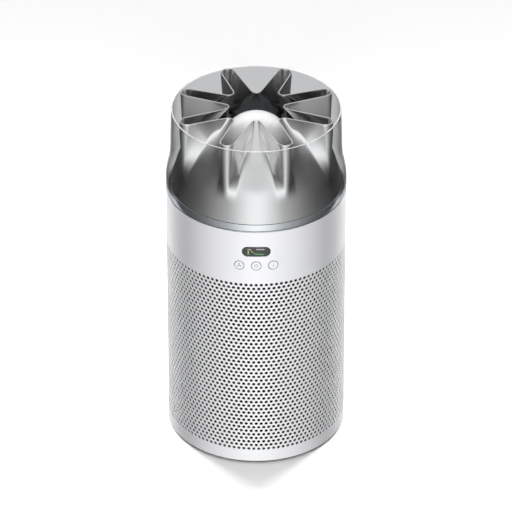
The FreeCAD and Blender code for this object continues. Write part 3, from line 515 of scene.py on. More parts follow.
def windings(name):
    """Enamelled copper wire: turns of 0.6 mm wound round the ring."""
    f = Finish(name)
    _, x, y, z = f.place()
    wire = 0.6
    r = (x * x + y * y) ** 0.5
    turns = ((r + z * wire) * (FULL_TURN / wire)).sin() * 0.5 + 0.5
    shade = f.mix(turns, (0.22, 0.07, 0.03), (0.75, 0.32, 0.14))
    return f.surface(
        Base_Color=shade, Metallic=0.8, Roughness=0.28 + 0.1 * turns, Normal=f.bump(turns, 0.6, 0.15))


def circuit_board(name, mask=(0.012, 0.10, 0.05)):
    """Solder mask over tracks, with dull silver pads at the grid's crossings."""
    f = Finish(name)
    vector, x, y, z = f.place()
    track = f.node("ShaderNodeTexBrick", {"offset": 0.5}, {
        "Vector": f.combine(x * 0.28 + y * 0.1, z * 0.28 + y * 0.2, 0.0),
        "Scale": 1.0, "Mortar Size": 0.05, "Mortar Smooth": 0.3, "Brick Width": 1.7, "Row Height": 0.6},
        "Fac")
    cells = f.cells(vector, 0.35)
    pad = cells < 0.16
    shade = f.mix(track, mask, shaded(mask, 2.2))
    shade = f.mix(pad, shade, (0.55, 0.55, 0.52))
    return f.surface(Base_Color=shade, Roughness=0.35 + 0.1 * pad, Normal=f.bump(track, 0.3, 0.05))


def filter_paper(name):
    """Pleated non-woven paper: soft fibres lying across each other."""
    f = Finish(name)
    vector, x, y, z = f.place()
    fibre = f.noise(f.combine(x * 2.0, y * 2.0, z * 0.6), 1.4, 5.0, 0.7)
    dust = f.noise(vector, 0.06, 3.0)
    shade = f.mix(fibre, (0.60, 0.60, 0.57), (0.86, 0.86, 0.83))
    shade = f.mix(0.35 * dust, shade, (0.45, 0.44, 0.42))
    return f.surface(Base_Color=shade, Roughness=0.92, Normal=f.bump(fibre, 0.6, 0.15))


def carbon_mesh(name):
    """Black mesh over carbon granules: diamond cells of strands wound both ways round the tube."""
    f = Finish(name)
    vector, x, y, z = f.place()
    tube_r, wave = 91.0, 4.0
    around = x.angle(y) * tube_r
    a = ((around + z) * (FULL_TURN / wave)).sin()
    b = ((around - z) * (FULL_TURN / wave)).sin()
    strand = (a.abs().min(b.abs()) < 0.32)
    grains = f.cells(vector, 0.8)
    shade = f.mix(strand, (0.006, 0.006, 0.007), (0.045, 0.046, 0.05))
    height = strand * 0.8 + (1.0 - strand) * grains * 0.5
    return f.surface(Base_Color=shade, Roughness=0.85 - 0.25 * strand, Normal=f.bump(height, 0.8, 0.5))


def ring_line(r, radius):
    """1 on a thin circle of that radius, 0 elsewhere: a printed line, or the painted shade ring round a
    button.
    """
    return (r - radius).abs() < PRINT_AND_SHADE_LINE


def button_face(name, azimuth, mark):
    """White satin cap with a thin grey ring of painted shade near its edge, standing in for the gap round the
    cap, and a printed mark of its own: a fan with three blades, a power ring with a bar, or a dot over a bar."""
    f = Finish(name)
    vector, *_ = f.place()
    turned = f.node("ShaderNodeMapping", {"vector_type": "POINT"}, {
        "Vector": vector, "Rotation": (0.0, 0.0, -math.radians(azimuth))})
    u, _, z = f.split(turned)
    v = z - BUTTON_Z
    r = (u * u + v * v) ** 0.5
    if mark == "fan":
        petals = (u.angle(v) * 3.0 + r * 0.9).sin()
        shape = ((petals > 0.15) * (r < 2.6) * (r > 0.75)).max(r < 0.45)
    elif mark == "power":
        gap = (u.abs() < 0.75) * (v > 0.4)
        ring = ring_line(r, 2.1) * (1.0 - gap)
        bar = (u.abs() < 0.3) * (v > 0.5) * (v < 2.7)
        shape = ring.max(bar)
    else:
        dot = ((u * u + (v - 1.75) * (v - 1.75)) ** 0.5) < 0.42
        bar = (u.abs() < 0.34) * (v > -2.1) * (v < 0.75)
        shape = dot.max(bar)
    # The ring at 5.8 mm is painted shade of the gap round the cap. shape is the printed mark.
    print_and_gap_shade = shape.max(ring_line(r, 5.8))
    peel = f.noise(vector, 0.9, 3.0)
    shade = f.mix(print_and_gap_shade, (0.86, 0.865, 0.88), (0.16, 0.165, 0.175))
    return f.surface(Base_Color=shade, Roughness=0.36 + 0.1 * print_and_gap_shade, Normal=f.bump(peel, 0.12, 0.02))


def display_glass(name):
    """Black glass over a lit screen: a colour bar on the left, a falling line that turns green and runs
    flat, and rows of small generic ticks along the top."""
    f = Finish(name)
    vector, x, _, z = f.place()
    v = z - LENS_Z
    bar = ((x + 9.8).abs() < 0.75) * (v > -4.1) * (v < 1.6)
    fall = (x + 6.6) * (4.6 / 5.0)
    line_height = (1.3 - fall).max(-3.6 - 0.02 * x)
    line = ((v - line_height).abs() < 0.48) * (x > -6.9) * (x < 9.2)
    ticks_left = ((x + 9.0).wrap(0.0, 1.7) < 0.95) * (x > -10.4) * (x < -6.6)
    ticks_right = ((x + 0.3).wrap(0.0, 2.05) < 1.35) * (x > 0.2) * (x < 10.4)
    ticks = ticks_left.max(ticks_right) * (v > 2.6) * (v < 4.1)
    heat = ((v + 4.1) / 5.7).clamp()
    heat_line = ((v + 3.2) / 4.6).clamp()
    stops = [(0.0, (0.06, 0.52, 0.09)), (0.3, (0.12, 0.50, 0.09)), (0.62, (0.50, 0.55, 0.10)),
             (1.0, (0.72, 0.32, 0.04))]
    bar_colour = f.node("ShaderNodeValToRGB", {"ramp": stops}, {"Fac": heat})
    line_colour = f.node("ShaderNodeValToRGB", {"ramp": stops}, {"Fac": heat_line})
    glow = f.mix(bar, (0.0, 0.0, 0.0), bar_colour)
    glow = f.mix(line, glow, line_colour)
    glow = f.mix(ticks, glow, (0.62, 0.62, 0.62))
    smudge = f.noise(vector, 0.25, 3.0)
    return f.surface(
        Base_Color=(0.006, 0.006, 0.007), Roughness=0.05 + 0.05 * smudge, Emission_Color=glow,
        Emission_Strength=1.0, Specular_IOR_Level=0.5, Coat_Weight=1.0, Coat_Roughness=0.03)


# Each slot's finish: its maker, the material's name and what the maker takes. A colour that the user sets is
# given by its setting's name.
FINISHES = {
    "white_sleeve": (lacquer, "white_sleeve_satin", "sleeve_colour"),
    "white_plastic": (moulding, "white_satin_moulding", (0.62, 0.62, 0.625), 0.32, 0.02, 1.6),
    "grey_plastic": (moulding, "grey_grained_plastic", (0.30, 0.31, 0.325)),
    "dark_plastic": (moulding, "dark_grained_plastic", (0.030, 0.031, 0.034), 0.5),
    "black_plastic": (moulding, "black_grained_plastic", (0.014, 0.014, 0.016), 0.42),
    "slate_plastic": (nickel, "slate_metallic_lacquer", "slate_colour", 0.1),
    "foot_rubber": (rubber, "foot_rubber"),
    "seal_rubber": (rubber, "seal_rubber", (0.022, 0.022, 0.025)),
    "cable_rubber": (rubber, "cable_jacket", (0.02, 0.02, 0.02)),
    "steel": (plain_metal, "zinc_plated_steel", (0.62, 0.62, 0.64)),
    "brass_pins": (plain_metal, "plated_brass", (0.80, 0.66, 0.36), 0.2, 1),
    "copper": (windings, "copper_windings"),
    "lamination": (laminations, "steel_laminations"),
    "aluminium": (plain_metal, "cast_aluminium", (0.70, 0.70, 0.71), 0.45, 0, 0.6),
    "bright_nickel": (nickel, "bright_nickel", "metal_colour"),
    "black_glass": (display_glass, "display_glass"),
    "clear_plastic": (clear, "clear_grey_plastic"),
    "circuit_board": (circuit_board, "circuit_board"),
    "filter_paper": (filter_paper, "pleated_paper"),
    "carbon_mesh": (carbon_mesh, "carbon_mesh"),
}
MATERIALS = {}


def finish(key):
    """The finish of that slot, made once."""
    if key not in MATERIALS:
        look = bpy.context.scene.purifier_looks
        maker, name, *rest = FINISHES[key]
        rest = [tuple(getattr(look, part)) if isinstance(part, str) else part for part in rest]
        MATERIALS[key] = maker(name, *rest)
    return MATERIALS[key]


# ---- the sleeve
def ring_patch(centre_az, half_az, z0, z1, hole, columns, rows):
    """A rectangle of the sleeve with a hole in it. The hole is (half length of its straight part, radius,
    height), so (0, r, z) is a circle. The grid runs from the hole's edge, which is rolled in by a small
    radius, out to the rectangle, and every point of the rectangle looks at its nearest point on the hole."""
    straight, radius, hole_z = hole
    k = math.radians(1) * SLEEVE_R
    across = np.linspace(-half_az, half_az, columns + 1) * k
    up = np.linspace(z0, z1, rows + 1) - hole_z
    edge = np.concatenate([
        np.stack([across[:-1], np.full(columns, up[0])], 1),
        np.stack([np.full(rows, across[-1]), up[:-1]], 1),
        np.stack([across[:0:-1], np.full(columns, up[-1])], 1),
        np.stack([np.full(rows, across[0]), up[:0:-1]], 1)])
    near = np.stack([np.clip(edge[:, 0], -straight, straight), np.zeros(len(edge))], 1)
    away = edge - near
    away /= np.linalg.norm(away, axis=1, keepdims=True)
    roll = 0.35
    rings, depths = [], []
    for t in np.linspace(0, 1, 4):
        rings.append(near + away * (radius + roll * (1 - math.cos(t * math.pi / 2))))
        depths.append(roll * (1 - math.sin(t * math.pi / 2)))
    lip = rings[-1]
    for t in np.linspace(0.25, 1, 4):
        rings.append(lip + (edge - lip) * t)
        depths.append(0.0)
    flat = np.stack(rings)
    r = SLEEVE_R - np.array(depths)[:, None] + 0 * flat[..., 0]
    return grid(on_sleeve(centre_az + flat[..., 0] / k, flat[..., 1] + hole_z, r), wrap_columns=True)


def plain_patch(azimuths, heights, edge_drop=None):
    """A rectangle of the sleeve on given azimuths and heights. edge_drop is how far each height's row is
    drawn in, for a rolled edge."""
    drop = np.zeros(len(heights)) if edge_drop is None else edge_drop
    az, z = np.meshgrid(azimuths, heights)
    return grid(on_sleeve(az, z, SLEEVE_R - drop[:, None] + 0 * az))


def sleeve_shell(sheet, wall):
    """The closed shell of a sheet on the sleeve: the inner points lie a wall's thickness nearer the axis."""
    points, faces = weld(*join(sheet))
    r = np.hypot(points[:, 0], points[:, 1])
    inner_r = SLEEVE_R - wall
    inside = points * np.stack([inner_r / r, inner_r / r, np.ones_like(r)], 1)
    return with_wall(points, inside, faces)


def rolled(height, radius, upwards):
    """Heights and drops of a rolled edge that ends at a height."""
    t = np.linspace(0, math.pi / 2, 5)
    z = radius * (1 - np.sin(t))
    drop = radius * (1 - np.cos(t))
    if upwards:
        return height - z, drop
    return (height + z)[::-1], drop[::-1]


class OBJECT_OT_control_band(bpy.types.Operator):
    """Makes the smooth band above the holes, with windows for the display, the buttons and the rear grille"""
    bl_idname = "purifier.control_band"
    bl_label = "Control band"

    def execute(self, context):
        look = context.scene.purifier_looks
        foot = look.first_row + (look.hole_rows - 0.5) * look.row_pitch
        third = 5.4
        side = 3 * third
        columns = 12
        rows = 8
        split = (BUTTON_Z + LENS_Z) / 2
        low, high = BUTTON_Z - (split - BUTTON_Z), LENS_Z + (LENS_Z - split)
        below = np.linspace(foot, low, 4)
        top_z, top_drop = rolled(SLEEVE_TOP, 0.4, True)
        above = np.concatenate([np.linspace(high, top_z[0], 4)[:-1], top_z])
        above_drop = np.concatenate([np.zeros(3), top_drop])
        middle = np.linspace(low, split, rows + 1)
        upper = np.linspace(split, high, rows + 1)
        front = np.linspace(-side, side, 3 * columns + 1)
        rest = np.linspace(side, 180 - side, 92)
        sheet = []
        for azimuth in BUTTONS.values():
            centre = round(azimuth / (2 * third)) * 2 * third
            sheet.append(ring_patch(centre, third, low, split, (0.0, BUTTON_HOLE_R, BUTTON_Z), columns, rows))
        sheet.append(ring_patch(0.0, side, split, high, window("display_lens"), 3 * columns, rows))
        sheet.append(ring_patch(180.0, side, low, high, window("sensor_grille"), 3 * columns, 2 * rows))
        for azimuths in (front, front + 180):
            sheet.append(plain_patch(azimuths, below))
            sheet.append(plain_patch(azimuths, above, above_drop))
        for azimuths in (rest, rest + 180):
            heights = np.concatenate([below, middle[1:], upper[1:], above[1:]])
            drops = np.concatenate([np.zeros(len(heights) - len(above) + 1), above_drop[1:]])
            sheet.append(plain_patch(azimuths, heights, drops))
        shape = sleeve_shell(sheet, look.sleeve_wall)
        piece("sleeve_control_band", shape, "housing", "white_sleeve", ["outer_sleeve"])
        return {"FINISHED"}


def hole_cells(azimuths, z, half_az, half_z, radius, sides=12):
    """The sheet round each of a row of holes. A cell is a rectangle with a point in the middle of each side;
    its hole is a regular polygon, and triangles fill the space between."""
    k = math.radians(1) * SLEEVE_R
    t = (np.arange(sides) + 0.5) * FULL_TURN / sides
    hole = np.stack([radius / k * np.cos(t), radius * np.sin(t)], 1)
    box = np.array([(1, 0), (1, 1), (0, 1), (-1, 1), (-1, 0), (-1, -1), (0, -1), (1, -1)]) * (half_az, half_z)
    faces = []
    for j in range(sides):
        here = int(round(t[j] / (FULL_TURN / 8))) % 8
        following = int(round(t[(j + 1) % sides] / (FULL_TURN / 8))) % 8
        if here == following:
            faces.append((8 + j, here, 8 + (j + 1) % sides, -1))
        else:
            faces.append((8 + j, here, following, 8 + (j + 1) % sides))
    cell = np.concatenate([box, hole])
    faces = np.array(faces)
    count = len(azimuths)
    az = azimuths[:, None] + cell[None, :, 0]
    height = z + cell[None, :, 1] + 0 * az
    points = on_sleeve(az, height).reshape(-1, 3)
    shift = (np.arange(count) * len(cell))[:, None, None]
    placed = np.where(faces[None] >= 0, faces[None] + shift, -1).reshape(-1, 4)
    return points, placed


class OBJECT_OT_perforations(bpy.types.Operator):
    """Makes the perforated part of the sleeve, as a front and a rear half of staggered round holes"""
    bl_idname = "purifier.perforations"
    bl_label = "Perforated sleeve"

    def execute(self, context):
        look = context.scene.purifier_looks
        half_az = 180.0 / look.holes_around
        half_count = look.holes_around // 2
        tray_rows = math.ceil((top_of("base_tray") - look.first_row) / look.row_pitch + 0.5)
        for name, start in (("sleeve_holes_front", -90.0), ("sleeve_holes_rear", 90.0)):
            sheet = []
            for row in range(look.hole_rows):
                first = start + (half_az if row % 2 == 0 else 0.0)
                azimuths = first + 2 * half_az * np.arange(half_count)
                z = look.first_row + row * look.row_pitch
                sheet.append(hole_cells(azimuths, z, half_az, look.row_pitch / 2, look.hole_diameter / 2))
            shape = join([
                sleeve_shell(sheet[:tray_rows], look.sleeve_wall),
                sleeve_shell(sheet[tray_rows:], look.hole_depth)])
            piece(name, shape, "housing", "white_sleeve")
        return {"FINISHED"}


class OBJECT_OT_sleeve_foot(bpy.types.Operator):
    """Makes the plain rim under the holes, with the power inlet's window at the rear"""
    bl_idname = "purifier.sleeve_foot"
    bl_label = "Sleeve foot"

    def execute(self, context):
        look = context.scene.purifier_looks
        top = look.first_row - look.row_pitch / 2
        edge_z, edge_drop = rolled(SLEEVE_BOTTOM, 0.4, False)
        side = 12.0
        heights = np.concatenate([edge_z, np.linspace(edge_z[-1], top, 9)[1:]])
        drops = np.concatenate([edge_drop, np.zeros(8)])
        sheet = [
            plain_patch(np.linspace(side - 180, 180 - side, 216), heights, drops),
            plain_patch(np.linspace(180 - side, 180 + side, 25), edge_z, edge_drop),
            ring_patch(180.0, side, edge_z[-1], top, window("power_inlet"), 24, 8)]
        piece("sleeve_foot_rim", sleeve_shell(sheet, look.sleeve_wall), "housing", "white_sleeve")
        return {"FINISHED"}


# ---- the head
NOZZLE = {
    "wall": 1.5, "half_w": 9.0, "end_r": 100.3, "short_apex_r": 33.0, "long_fillet": 6.0, "short_fillet": 6.5,
    "band_z": 386.0, "band_r": 98.5, "skirt_waist": 0.9, "valleys": 8, "blend": 11.0, "wall_foot": 7.0,
    "band_bend": 11.0}


def valley_outline(k, shift):
    """Valley k of the star outline, in its own frame with x out along the valley, at the top and on the band.
    At the top, half a valley is a round tip, a straight wall and a quarter turn round the slot's end; on the
    band the same points lie on a circle. shift moves the wall's surface into the valley.
    Returns two arrays of (x, y) from the valley's middle to the slot's outermost point."""
    n = NOZZLE
    half_pitch = math.pi / n["valleys"]
    apex = n["half_w"] / math.sin(half_pitch) if k % 2 == 0 else n["short_apex_r"]
    fillet = (n["long_fillet"] if k % 2 == 0 else n["short_fillet"]) - shift
    centre = (n["end_r"] - n["half_w"]) * np.array((math.cos(half_pitch), math.sin(half_pitch)))
    inward = np.array((math.sin(half_pitch), -math.cos(half_pitch)))
    half_w = n["half_w"] + shift
    end = centre + half_w * inward
    spread = math.atan2(end[1] - shift * inward[1], end[0] - apex)
    apex += shift / math.sin(spread)
    spread = math.atan2(end[1], end[0] - apex)
    reach = fillet / math.tan(spread)
    tip_centre = apex + fillet / math.sin(spread)
    t = np.linspace(math.pi, math.pi / 2 + spread, 9)
    tip = np.stack([tip_centre + fillet * np.cos(t), fillet * np.sin(t)], 1)
    tangent = np.array((apex + reach * math.cos(spread), reach * math.sin(spread)))
    s = np.linspace(0, 1, 25)[1:, None]
    wall = tangent + (end - tangent) * s
    t = np.linspace(half_pitch - math.pi / 2, half_pitch, 13)[1:]
    slot_end = centre + half_w * np.stack([np.cos(t), np.sin(t)], 1)
    r = n["band_r"] - n["wall"] / 2 + shift
    to_band = math.sqrt(r * r - (apex * math.sin(spread)) ** 2) - apex * math.cos(spread)
    corner = math.atan2(to_band * math.sin(spread), apex + to_band * math.cos(spread))
    top = np.concatenate([tip, wall, slot_end])
    steps = np.hypot(*np.diff(top, axis=0).T)
    along = np.concatenate([[0.0], np.cumsum(steps)])
    wall_start, wall_end, whole = along[len(tip) - 1], along[len(tip) + len(wall) - 1], along[-1]
    places = np.array((
        -wall_end, -wall_start, wall_start, wall_end, 2 * whole - wall_end, 2 * whole - wall_start))
    half_span = math.radians(n["wall_foot"] / 2)
    angles = np.array((-corner - half_span, -corner + half_span, corner - half_span, corner + half_span))
    angles = np.concatenate([angles, 2 * half_pitch - angles[[3, 2]]])
    spread_out = np.linspace(-n["blend"], n["blend"], 21)
    a = np.interp(along[:, None] + spread_out, places, angles).mean(axis=1)
    return top, r * np.stack([np.cos(a), np.sin(a)], 1)


def star_outline(shift):
    """The whole outline at the top and on the band: each valley's half, mirrored, and turned into place."""
    tops, bands = [], []
    for k in range(NOZZLE["valleys"]):
        turn = FULL_TURN * k / NOZZLE["valleys"] - math.pi / 2
        c, s = math.cos(turn), math.sin(turn)
        for half, out in zip(valley_outline(k, shift), (tops, bands)):
            other = half[:0:-1] * (1, -1)
            full = np.concatenate([other[1:], half])
            out.append(full @ np.array(((c, s), (-s, c))))
    return np.concatenate(tops), np.concatenate(bands)


def at_height(flat, z):
    """Points (x, y) of a flat outline, lifted to a height."""
    return np.column_stack([flat, np.full(len(flat), z)])


def nozzle_side(shift, skirt_r, top):
    """One side of the nozzle's wall as rows of points: the skirt's curve from its foot to the band, a rounded
    bend, and the ruled surface from the circle on the band to the star at the top."""
    n = NOZZLE
    star, circle = star_outline(shift)
    r = n["band_r"] - n["wall"] / 2 + shift
    unit = circle / r
    rows = []
    s = np.linspace(0, 1, 13)
    bend = n["band_bend"]
    z = NOZZLE_BOTTOM + (n["band_z"] - bend - NOZZLE_BOTTOM) * s
    whole = n["band_z"] - NOZZLE_BOTTOM

    def skirt_at(height):
        t = (height - NOZZLE_BOTTOM) / whole
        return skirt_r + (r - skirt_r) * t - 4 * n["skirt_waist"] * t * (1 - t)

    for height in z:
        rows.append(at_height(unit * skirt_at(height), height))
    foot = at_height(unit * skirt_at(n["band_z"] - bend), n["band_z"] - bend)
    corner = at_height(circle, n["band_z"])
    rim = at_height(star, NOZZLE_TOP)
    rise = NOZZLE_TOP - n["band_z"]
    after = corner + (rim - corner) * (bend / rise)
    for t in np.linspace(0, 1, 9)[1:]:
        rows.append((1 - t) ** 2 * foot + 2 * t * (1 - t) * corner + t * t * after)
    for t in np.linspace(bend / rise, (top - n["band_z"]) / rise, 30)[1:]:
        rows.append(corner + (rim - corner) * t)
    return rows


class OBJECT_OT_nozzle(bpy.types.Operator):
    """Makes the lobed nickel nozzle: eight round-ended slots, with four long and four short valleys"""
    bl_idname = "purifier.nozzle"
    bl_label = "Lobed nozzle"

    def execute(self, context):
        half = NOZZLE["wall"] / 2
        skirt_r = radius_of("lobed_nozzle")
        top = NOZZLE_TOP - half
        rows = nozzle_side(half, skirt_r, top)
        edge_t = (top - NOZZLE["band_z"]) / (NOZZLE_TOP - NOZZLE["band_z"])
        for a in np.linspace(0, math.pi, 7)[1:-1]:
            star, circle = star_outline(half * math.cos(a))
            flat = circle + (star - circle) * edge_t
            rows.append(at_height(flat, top + half * math.sin(a)))
        rows += nozzle_side(-half, skirt_r - NOZZLE["wall"], top)[::-1]
        shape = grid(np.stack(rows), wrap_rows=True, wrap_columns=True)
        piece("nozzle_lobes", shape, "head", "bright_nickel", ["lobed_nozzle"], 40.0)
        return {"FINISHED"}


def bezier(a, b, c, d, steps):
    """Points of a cubic curve with the four given control points."""
    t = np.linspace(0, 1, steps)[:, None]
    a, b, c, d = (np.array(p, float) for p in (a, b, c, d))
    return (1 - t) ** 3 * a + 3 * t * (1 - t) ** 2 * b + 3 * t * t * (1 - t) * c + t ** 3 * d


class OBJECT_OT_clear_shroud(bpy.types.Operator):
    """Makes the clear ring wall: a straight foot, an S-curve inwards, then nearly upright to a round rim"""
    bl_idname = "purifier.clear_shroud"
    bl_label = "Clear shroud"

    def execute(self, context):
        wall = 2.2
        low, neck_r, neck_z, top_r = 357.0, 106.6, 404.0, 105.2
        rise = neck_z - low
        outer = bezier((SLEEVE_R, low), (SLEEVE_R, low + 0.36 * rise), (neck_r + 0.4, neck_z - 0.47 * rise),
                       (neck_r, neck_z), 28)
        rim_r = 0.95
        foot_r = 0.3
        rim_t = np.linspace(0, math.pi / 2, 6)
        outside = [(SLEEVE_R - foot_r, GLASS_BOTTOM), (SLEEVE_R, GLASS_BOTTOM + foot_r)]
        outside += outer.tolist()
        right = [(top_r - rim_r * (1 - math.cos(a)), GLASS_TOP - rim_r * (1 - math.sin(a))) for a in rim_t]
        left = [(top_r - wall + rim_r * (1 - math.sin(a)), GLASS_TOP - rim_r * (1 - math.cos(a)))
                for a in rim_t]
        inside = (outer - (wall, 0))[::-1].tolist()
        upright = np.array([[0.04], [0.5], [0.96]]) * (np.array(right[0]) - outer[-1])
        outside += (outer[-1] + upright).tolist()
        left += (outer[-1] - (wall, 0) + upright[::-1]).tolist()
        inside += [(SLEEVE_R - wall, GLASS_BOTTOM + foot_r), (SLEEVE_R - wall + foot_r, GLASS_BOTTOM)]
        profile = np.array(outside + right + left + inside)
        piece("shroud_wall", lathe(profile, 288), "head", "clear_plastic", ["clear_shroud"], 60.0)
        return {"FINISHED"}


class OBJECT_OT_dome(bpy.types.Operator):
    """Makes the white centre dome: a half sphere on an upright wall that widens to a cone at its foot"""
    bl_idname = "purifier.dome"
    bl_label = "Centre dome"

    def execute(self, context):
        pod_r, dome_r, wall = radius_of("centre_dome"), 45.0, 2.5
        centre_z = DOME_TOP - dome_r
        foot_top = 352.0
        t = np.linspace(0, math.pi / 2, 40)
        outer = [(pod_r - 0.4, DOME_BOTTOM), (pod_r, DOME_BOTTOM + 0.4), (dome_r + 0.5, foot_top - 0.6),
                 (dome_r, foot_top + 0.6)]
        outer += [(dome_r * math.cos(a), centre_z + dome_r * math.sin(a)) for a in t]
        inner_r = dome_r - wall
        inner = [(inner_r * math.cos(a), centre_z + inner_r * math.sin(a)) for a in t[::-1]]
        inner += [(inner_r, foot_top), (pod_r - wall, DOME_BOTTOM)]
        shape = lathe(np.array(outer + inner), 192)
        piece("dome_cap", shape, "head", "white_plastic", ["centre_dome"], 40.0)
        return {"FINISHED"}


class OBJECT_OT_shoulder(bpy.types.Operator):
    """Makes the slate shoulder ring that seats on the sleeve and carries the nozzle and the clear shroud"""
    bl_idname = "purifier.shoulder"
    bl_label = "Shoulder ring"

    def execute(self, context):
        ledge_low, ledge_high = SLEEVE_TOP + 0.2, SLEEVE_TOP + 1.2
        inner_r, crown_in_r, crown_out_r = 91.5, 104.6, 107.4
        ledge_r = SLEEVE_R - 0.2
        spigot_r = SLEEVE_R - 1.55
        spigot_in_r = spigot_r - 2.0
        bottom, inner_low = bottom_of("shoulder_ring"), 341.0
        groove_low, groove_high, groove_r = 336.5, 339.0, spigot_r - 1.0
        profile = rounded([
            (inner_r, inner_low, 0.3), (crown_in_r, SHOULDER_TOP, 0.3), (crown_out_r, SHOULDER_TOP, 0.4),
            (SLEEVE_R - 2.35, ledge_high, 0.0), (ledge_r, ledge_high, 0.25), (ledge_r, ledge_low, 0.25),
            (spigot_r, ledge_low, 0.0), (spigot_r, groove_high, 0.0), (groove_r, groove_high, 0.0),
            (groove_r, groove_low, 0.0), (spigot_r, groove_low, 0.0), (spigot_r, bottom, 0.3),
            (spigot_in_r, bottom, 0.3), (spigot_in_r, inner_low, 0.0)])
        piece("shoulder_slate", lathe(profile, 288), "head", "slate_plastic", ["shoulder_ring"])
        return {"FINISHED"}


# ---- buttons and display
def flat_face(radius, edge, steps):
    """(radius, depth) pairs of a flat round face from its middle over its rounded edge."""
    rings = [(r, 0.0) for r in np.linspace(0, radius - edge, steps)]
    a = np.linspace(0, math.pi / 2, 6)[1:]
    return rings + [(radius - edge + edge * math.sin(t), edge * (1 - math.cos(t))) for t in a]


def bent(across, up, depth, azimuth=0.0, r=SLEEVE_R):
    """Points drawn flat, bent to a cylinder of radius r: out = sqrt(r squared - across squared) - depth,
    then turned to their azimuth."""
    out = np.sqrt(r ** 2 - across ** 2) - depth
    s, c = math.sin(math.radians(azimuth)), math.cos(math.radians(azimuth))
    return np.stack([out * s + across * c, -out * c + across * s, up], axis=-1)


class OBJECT_OT_buttons(bpy.types.Operator):
    """Makes the three button caps, dished to follow the sleeve, each with its printed mark"""
    bl_idname = "purifier.buttons"
    bl_label = "Buttons"

    def execute(self, context):
        marks = {"fan_button": "fan", "power_button": "power", "info_button": "info"}
        cap_r, flange_r, stem_r, set_back = 6.15, 7.6, 1.6, 0.05
        flange_front, flange_back, stem_end = 1.55, 2.55, 3.2
        face = [(r, depth + set_back) for r, depth in flat_face(cap_r, 0.45, 12)]
        profile = np.array(face + [
            (cap_r, flange_front), (flange_r, flange_front), (flange_r, flange_back), (stem_r, flange_back),
            (stem_r, stem_end), (0.0, stem_end)])
        turn = np.linspace(0, FULL_TURN, 64, endpoint=False)[None, :]
        r, depth = profile[:, :1], profile[:, 1:]
        for name, azimuth in BUTTONS.items():
            points = bent(r * np.cos(turn), BUTTON_Z + r * np.sin(turn), depth, azimuth)
            material = button_face(name + "_face", azimuth, marks[name])
            piece(name + "_cap", grid(points, wrap_columns=True), name, "white_plastic", [name],
                  material=material)
        return {"FINISHED"}


class OBJECT_OT_display(bpy.types.Operator):
    """Makes the display's black glass: a capsule bent to the sleeve, with a fine rounded edge"""
    bl_idname = "purifier.display"
    bl_label = "Display glass"

    def execute(self, context):
        straight, radius, _ = capsule("display_lens")
        thickness, set_back, half = 1.6, 0.03, 33
        t = np.concatenate([
            np.linspace(-math.pi / 2, math.pi / 2, half), np.linspace(math.pi / 2, 1.5 * math.pi, half)])
        middle = np.repeat((straight, -straight), half)
        rings = flat_face(radius, 0.5, 8) + [(radius, thickness), (0.0, thickness)]
        r, depth = np.array(rings)[:, :1], np.array(rings)[:, 1:]
        points = bent(middle + r * np.cos(t), LENS_Z + r * np.sin(t), depth, r=SLEEVE_R - set_back)
        points, faces = grid(points, wrap_columns=True)
        k = np.arange(half - 1)
        cap = np.stack([k, k + 1, 2 * half - 2 - k, 2 * half - 1 - k], axis=1)
        faces = np.concatenate([faces, cap[:, ::-1], cap + 2 * half * (len(rings) - 1)])
        piece("display_glass", (points, faces), "housing", "black_glass", ["display_lens"])
        return {"FINISHED"}


# ---- carried-over nodes
class OBJECT_OT_inner_finishes(bpy.types.Operator):
    """Gives every shown node of the frame the finish of its slot"""
    bl_idname = "purifier.inner_finishes"
    bl_label = "Finishes of the inner parts"

    def execute(self, context):
        slots = {entry["node"]: entry["material_slot"] for entry in frame["record"]["subparts"]}
        for name, node in frame["nodes"].items():
            if node.hide_render:
                continue
            material = finish("black_plastic" if name == "display_panel" else slots[name])
            for k in range(len(node.data.materials)):
                node.data.materials[k] = material
            if not node.data.materials:
                node.data.materials.append(material)
        return {"FINISHED"}


# ---- the stage
def studio_world(fill):
    """The room's light, worked out from the direction of a ray. Reflections see a tall softbox in front,
    dim sides, a light ceiling that comes lower at the back, and a soft glow from below. Matt surfaces see
    an even dim fill, a straight look through clear plastic sees pale grey, and the camera sees white."""
    f = Finish("soft_studio", world=True)
    direction = f.node("ShaderNodeTexCoord", {}, {}, "Generated")
    x, y, z = f.split(direction)
    turn = x.angle(-1.0 * y).abs() * (1 / math.pi)
    levels = (
        (0.0, 1.24), (1.0, 0.08), (0.05, 1.16), (0.12, 0.88), (0.20, 0.52), (0.28, 0.37), (0.37, 0.20),
        (0.46, 0.11), (0.56, 0.07), (0.66, 0.025), (0.80, 0.05))
    ramp = [(place, (level,) * 3) for place, level in levels]
    around = f.node("ShaderNodeValToRGB", {"ramp": ramp}, {"Fac": turn})
    behind = ((turn - 0.54) / 0.12).clamp()
    ceiling = ((z - 0.5 + 0.56 * behind) / 0.26).clamp()
    glow = ((-0.48 - z) / 0.22).clamp() * (1.0 - ((turn - 0.1) / 0.3).clamp() * 0.35)
    lit = f.mix(ceiling, around, (0.80, 0.80, 0.80))
    lit = f.mix(0.8 * glow, lit, (0.34, 0.34, 0.34))
    rays = {kind: f.node("ShaderNodeLightPath", {}, {}, kind)
            for kind in ("Is Camera Ray", "Diffuse Depth", "Glossy Depth", "Transmission Depth")}
    matt = rays["Diffuse Depth"] > 0.5
    straight = (rays["Transmission Depth"] > 0.5) * (rays["Glossy Depth"] < 0.5)

    def background(colour, strength=1.0):
        colour = colour if isinstance(colour, Value) else (*colour, 1.0)
        return f.node("ShaderNodeBackground", {}, {"Color": colour, "Strength": strength})

    white = (1.0, 1.0, 1.0)
    shader = background(lit)
    for share, seen in ((straight, background((0.56, 0.565, 0.575))), (matt, background(white, fill)),
                        (rays["Is Camera Ray"], background(white))):
        shader = f.node("ShaderNodeMixShader", {}, {0: share, 1: shader, 2: seen})
    f.node("ShaderNodeOutputWorld", {}, {"Surface": shader})
    return f.block


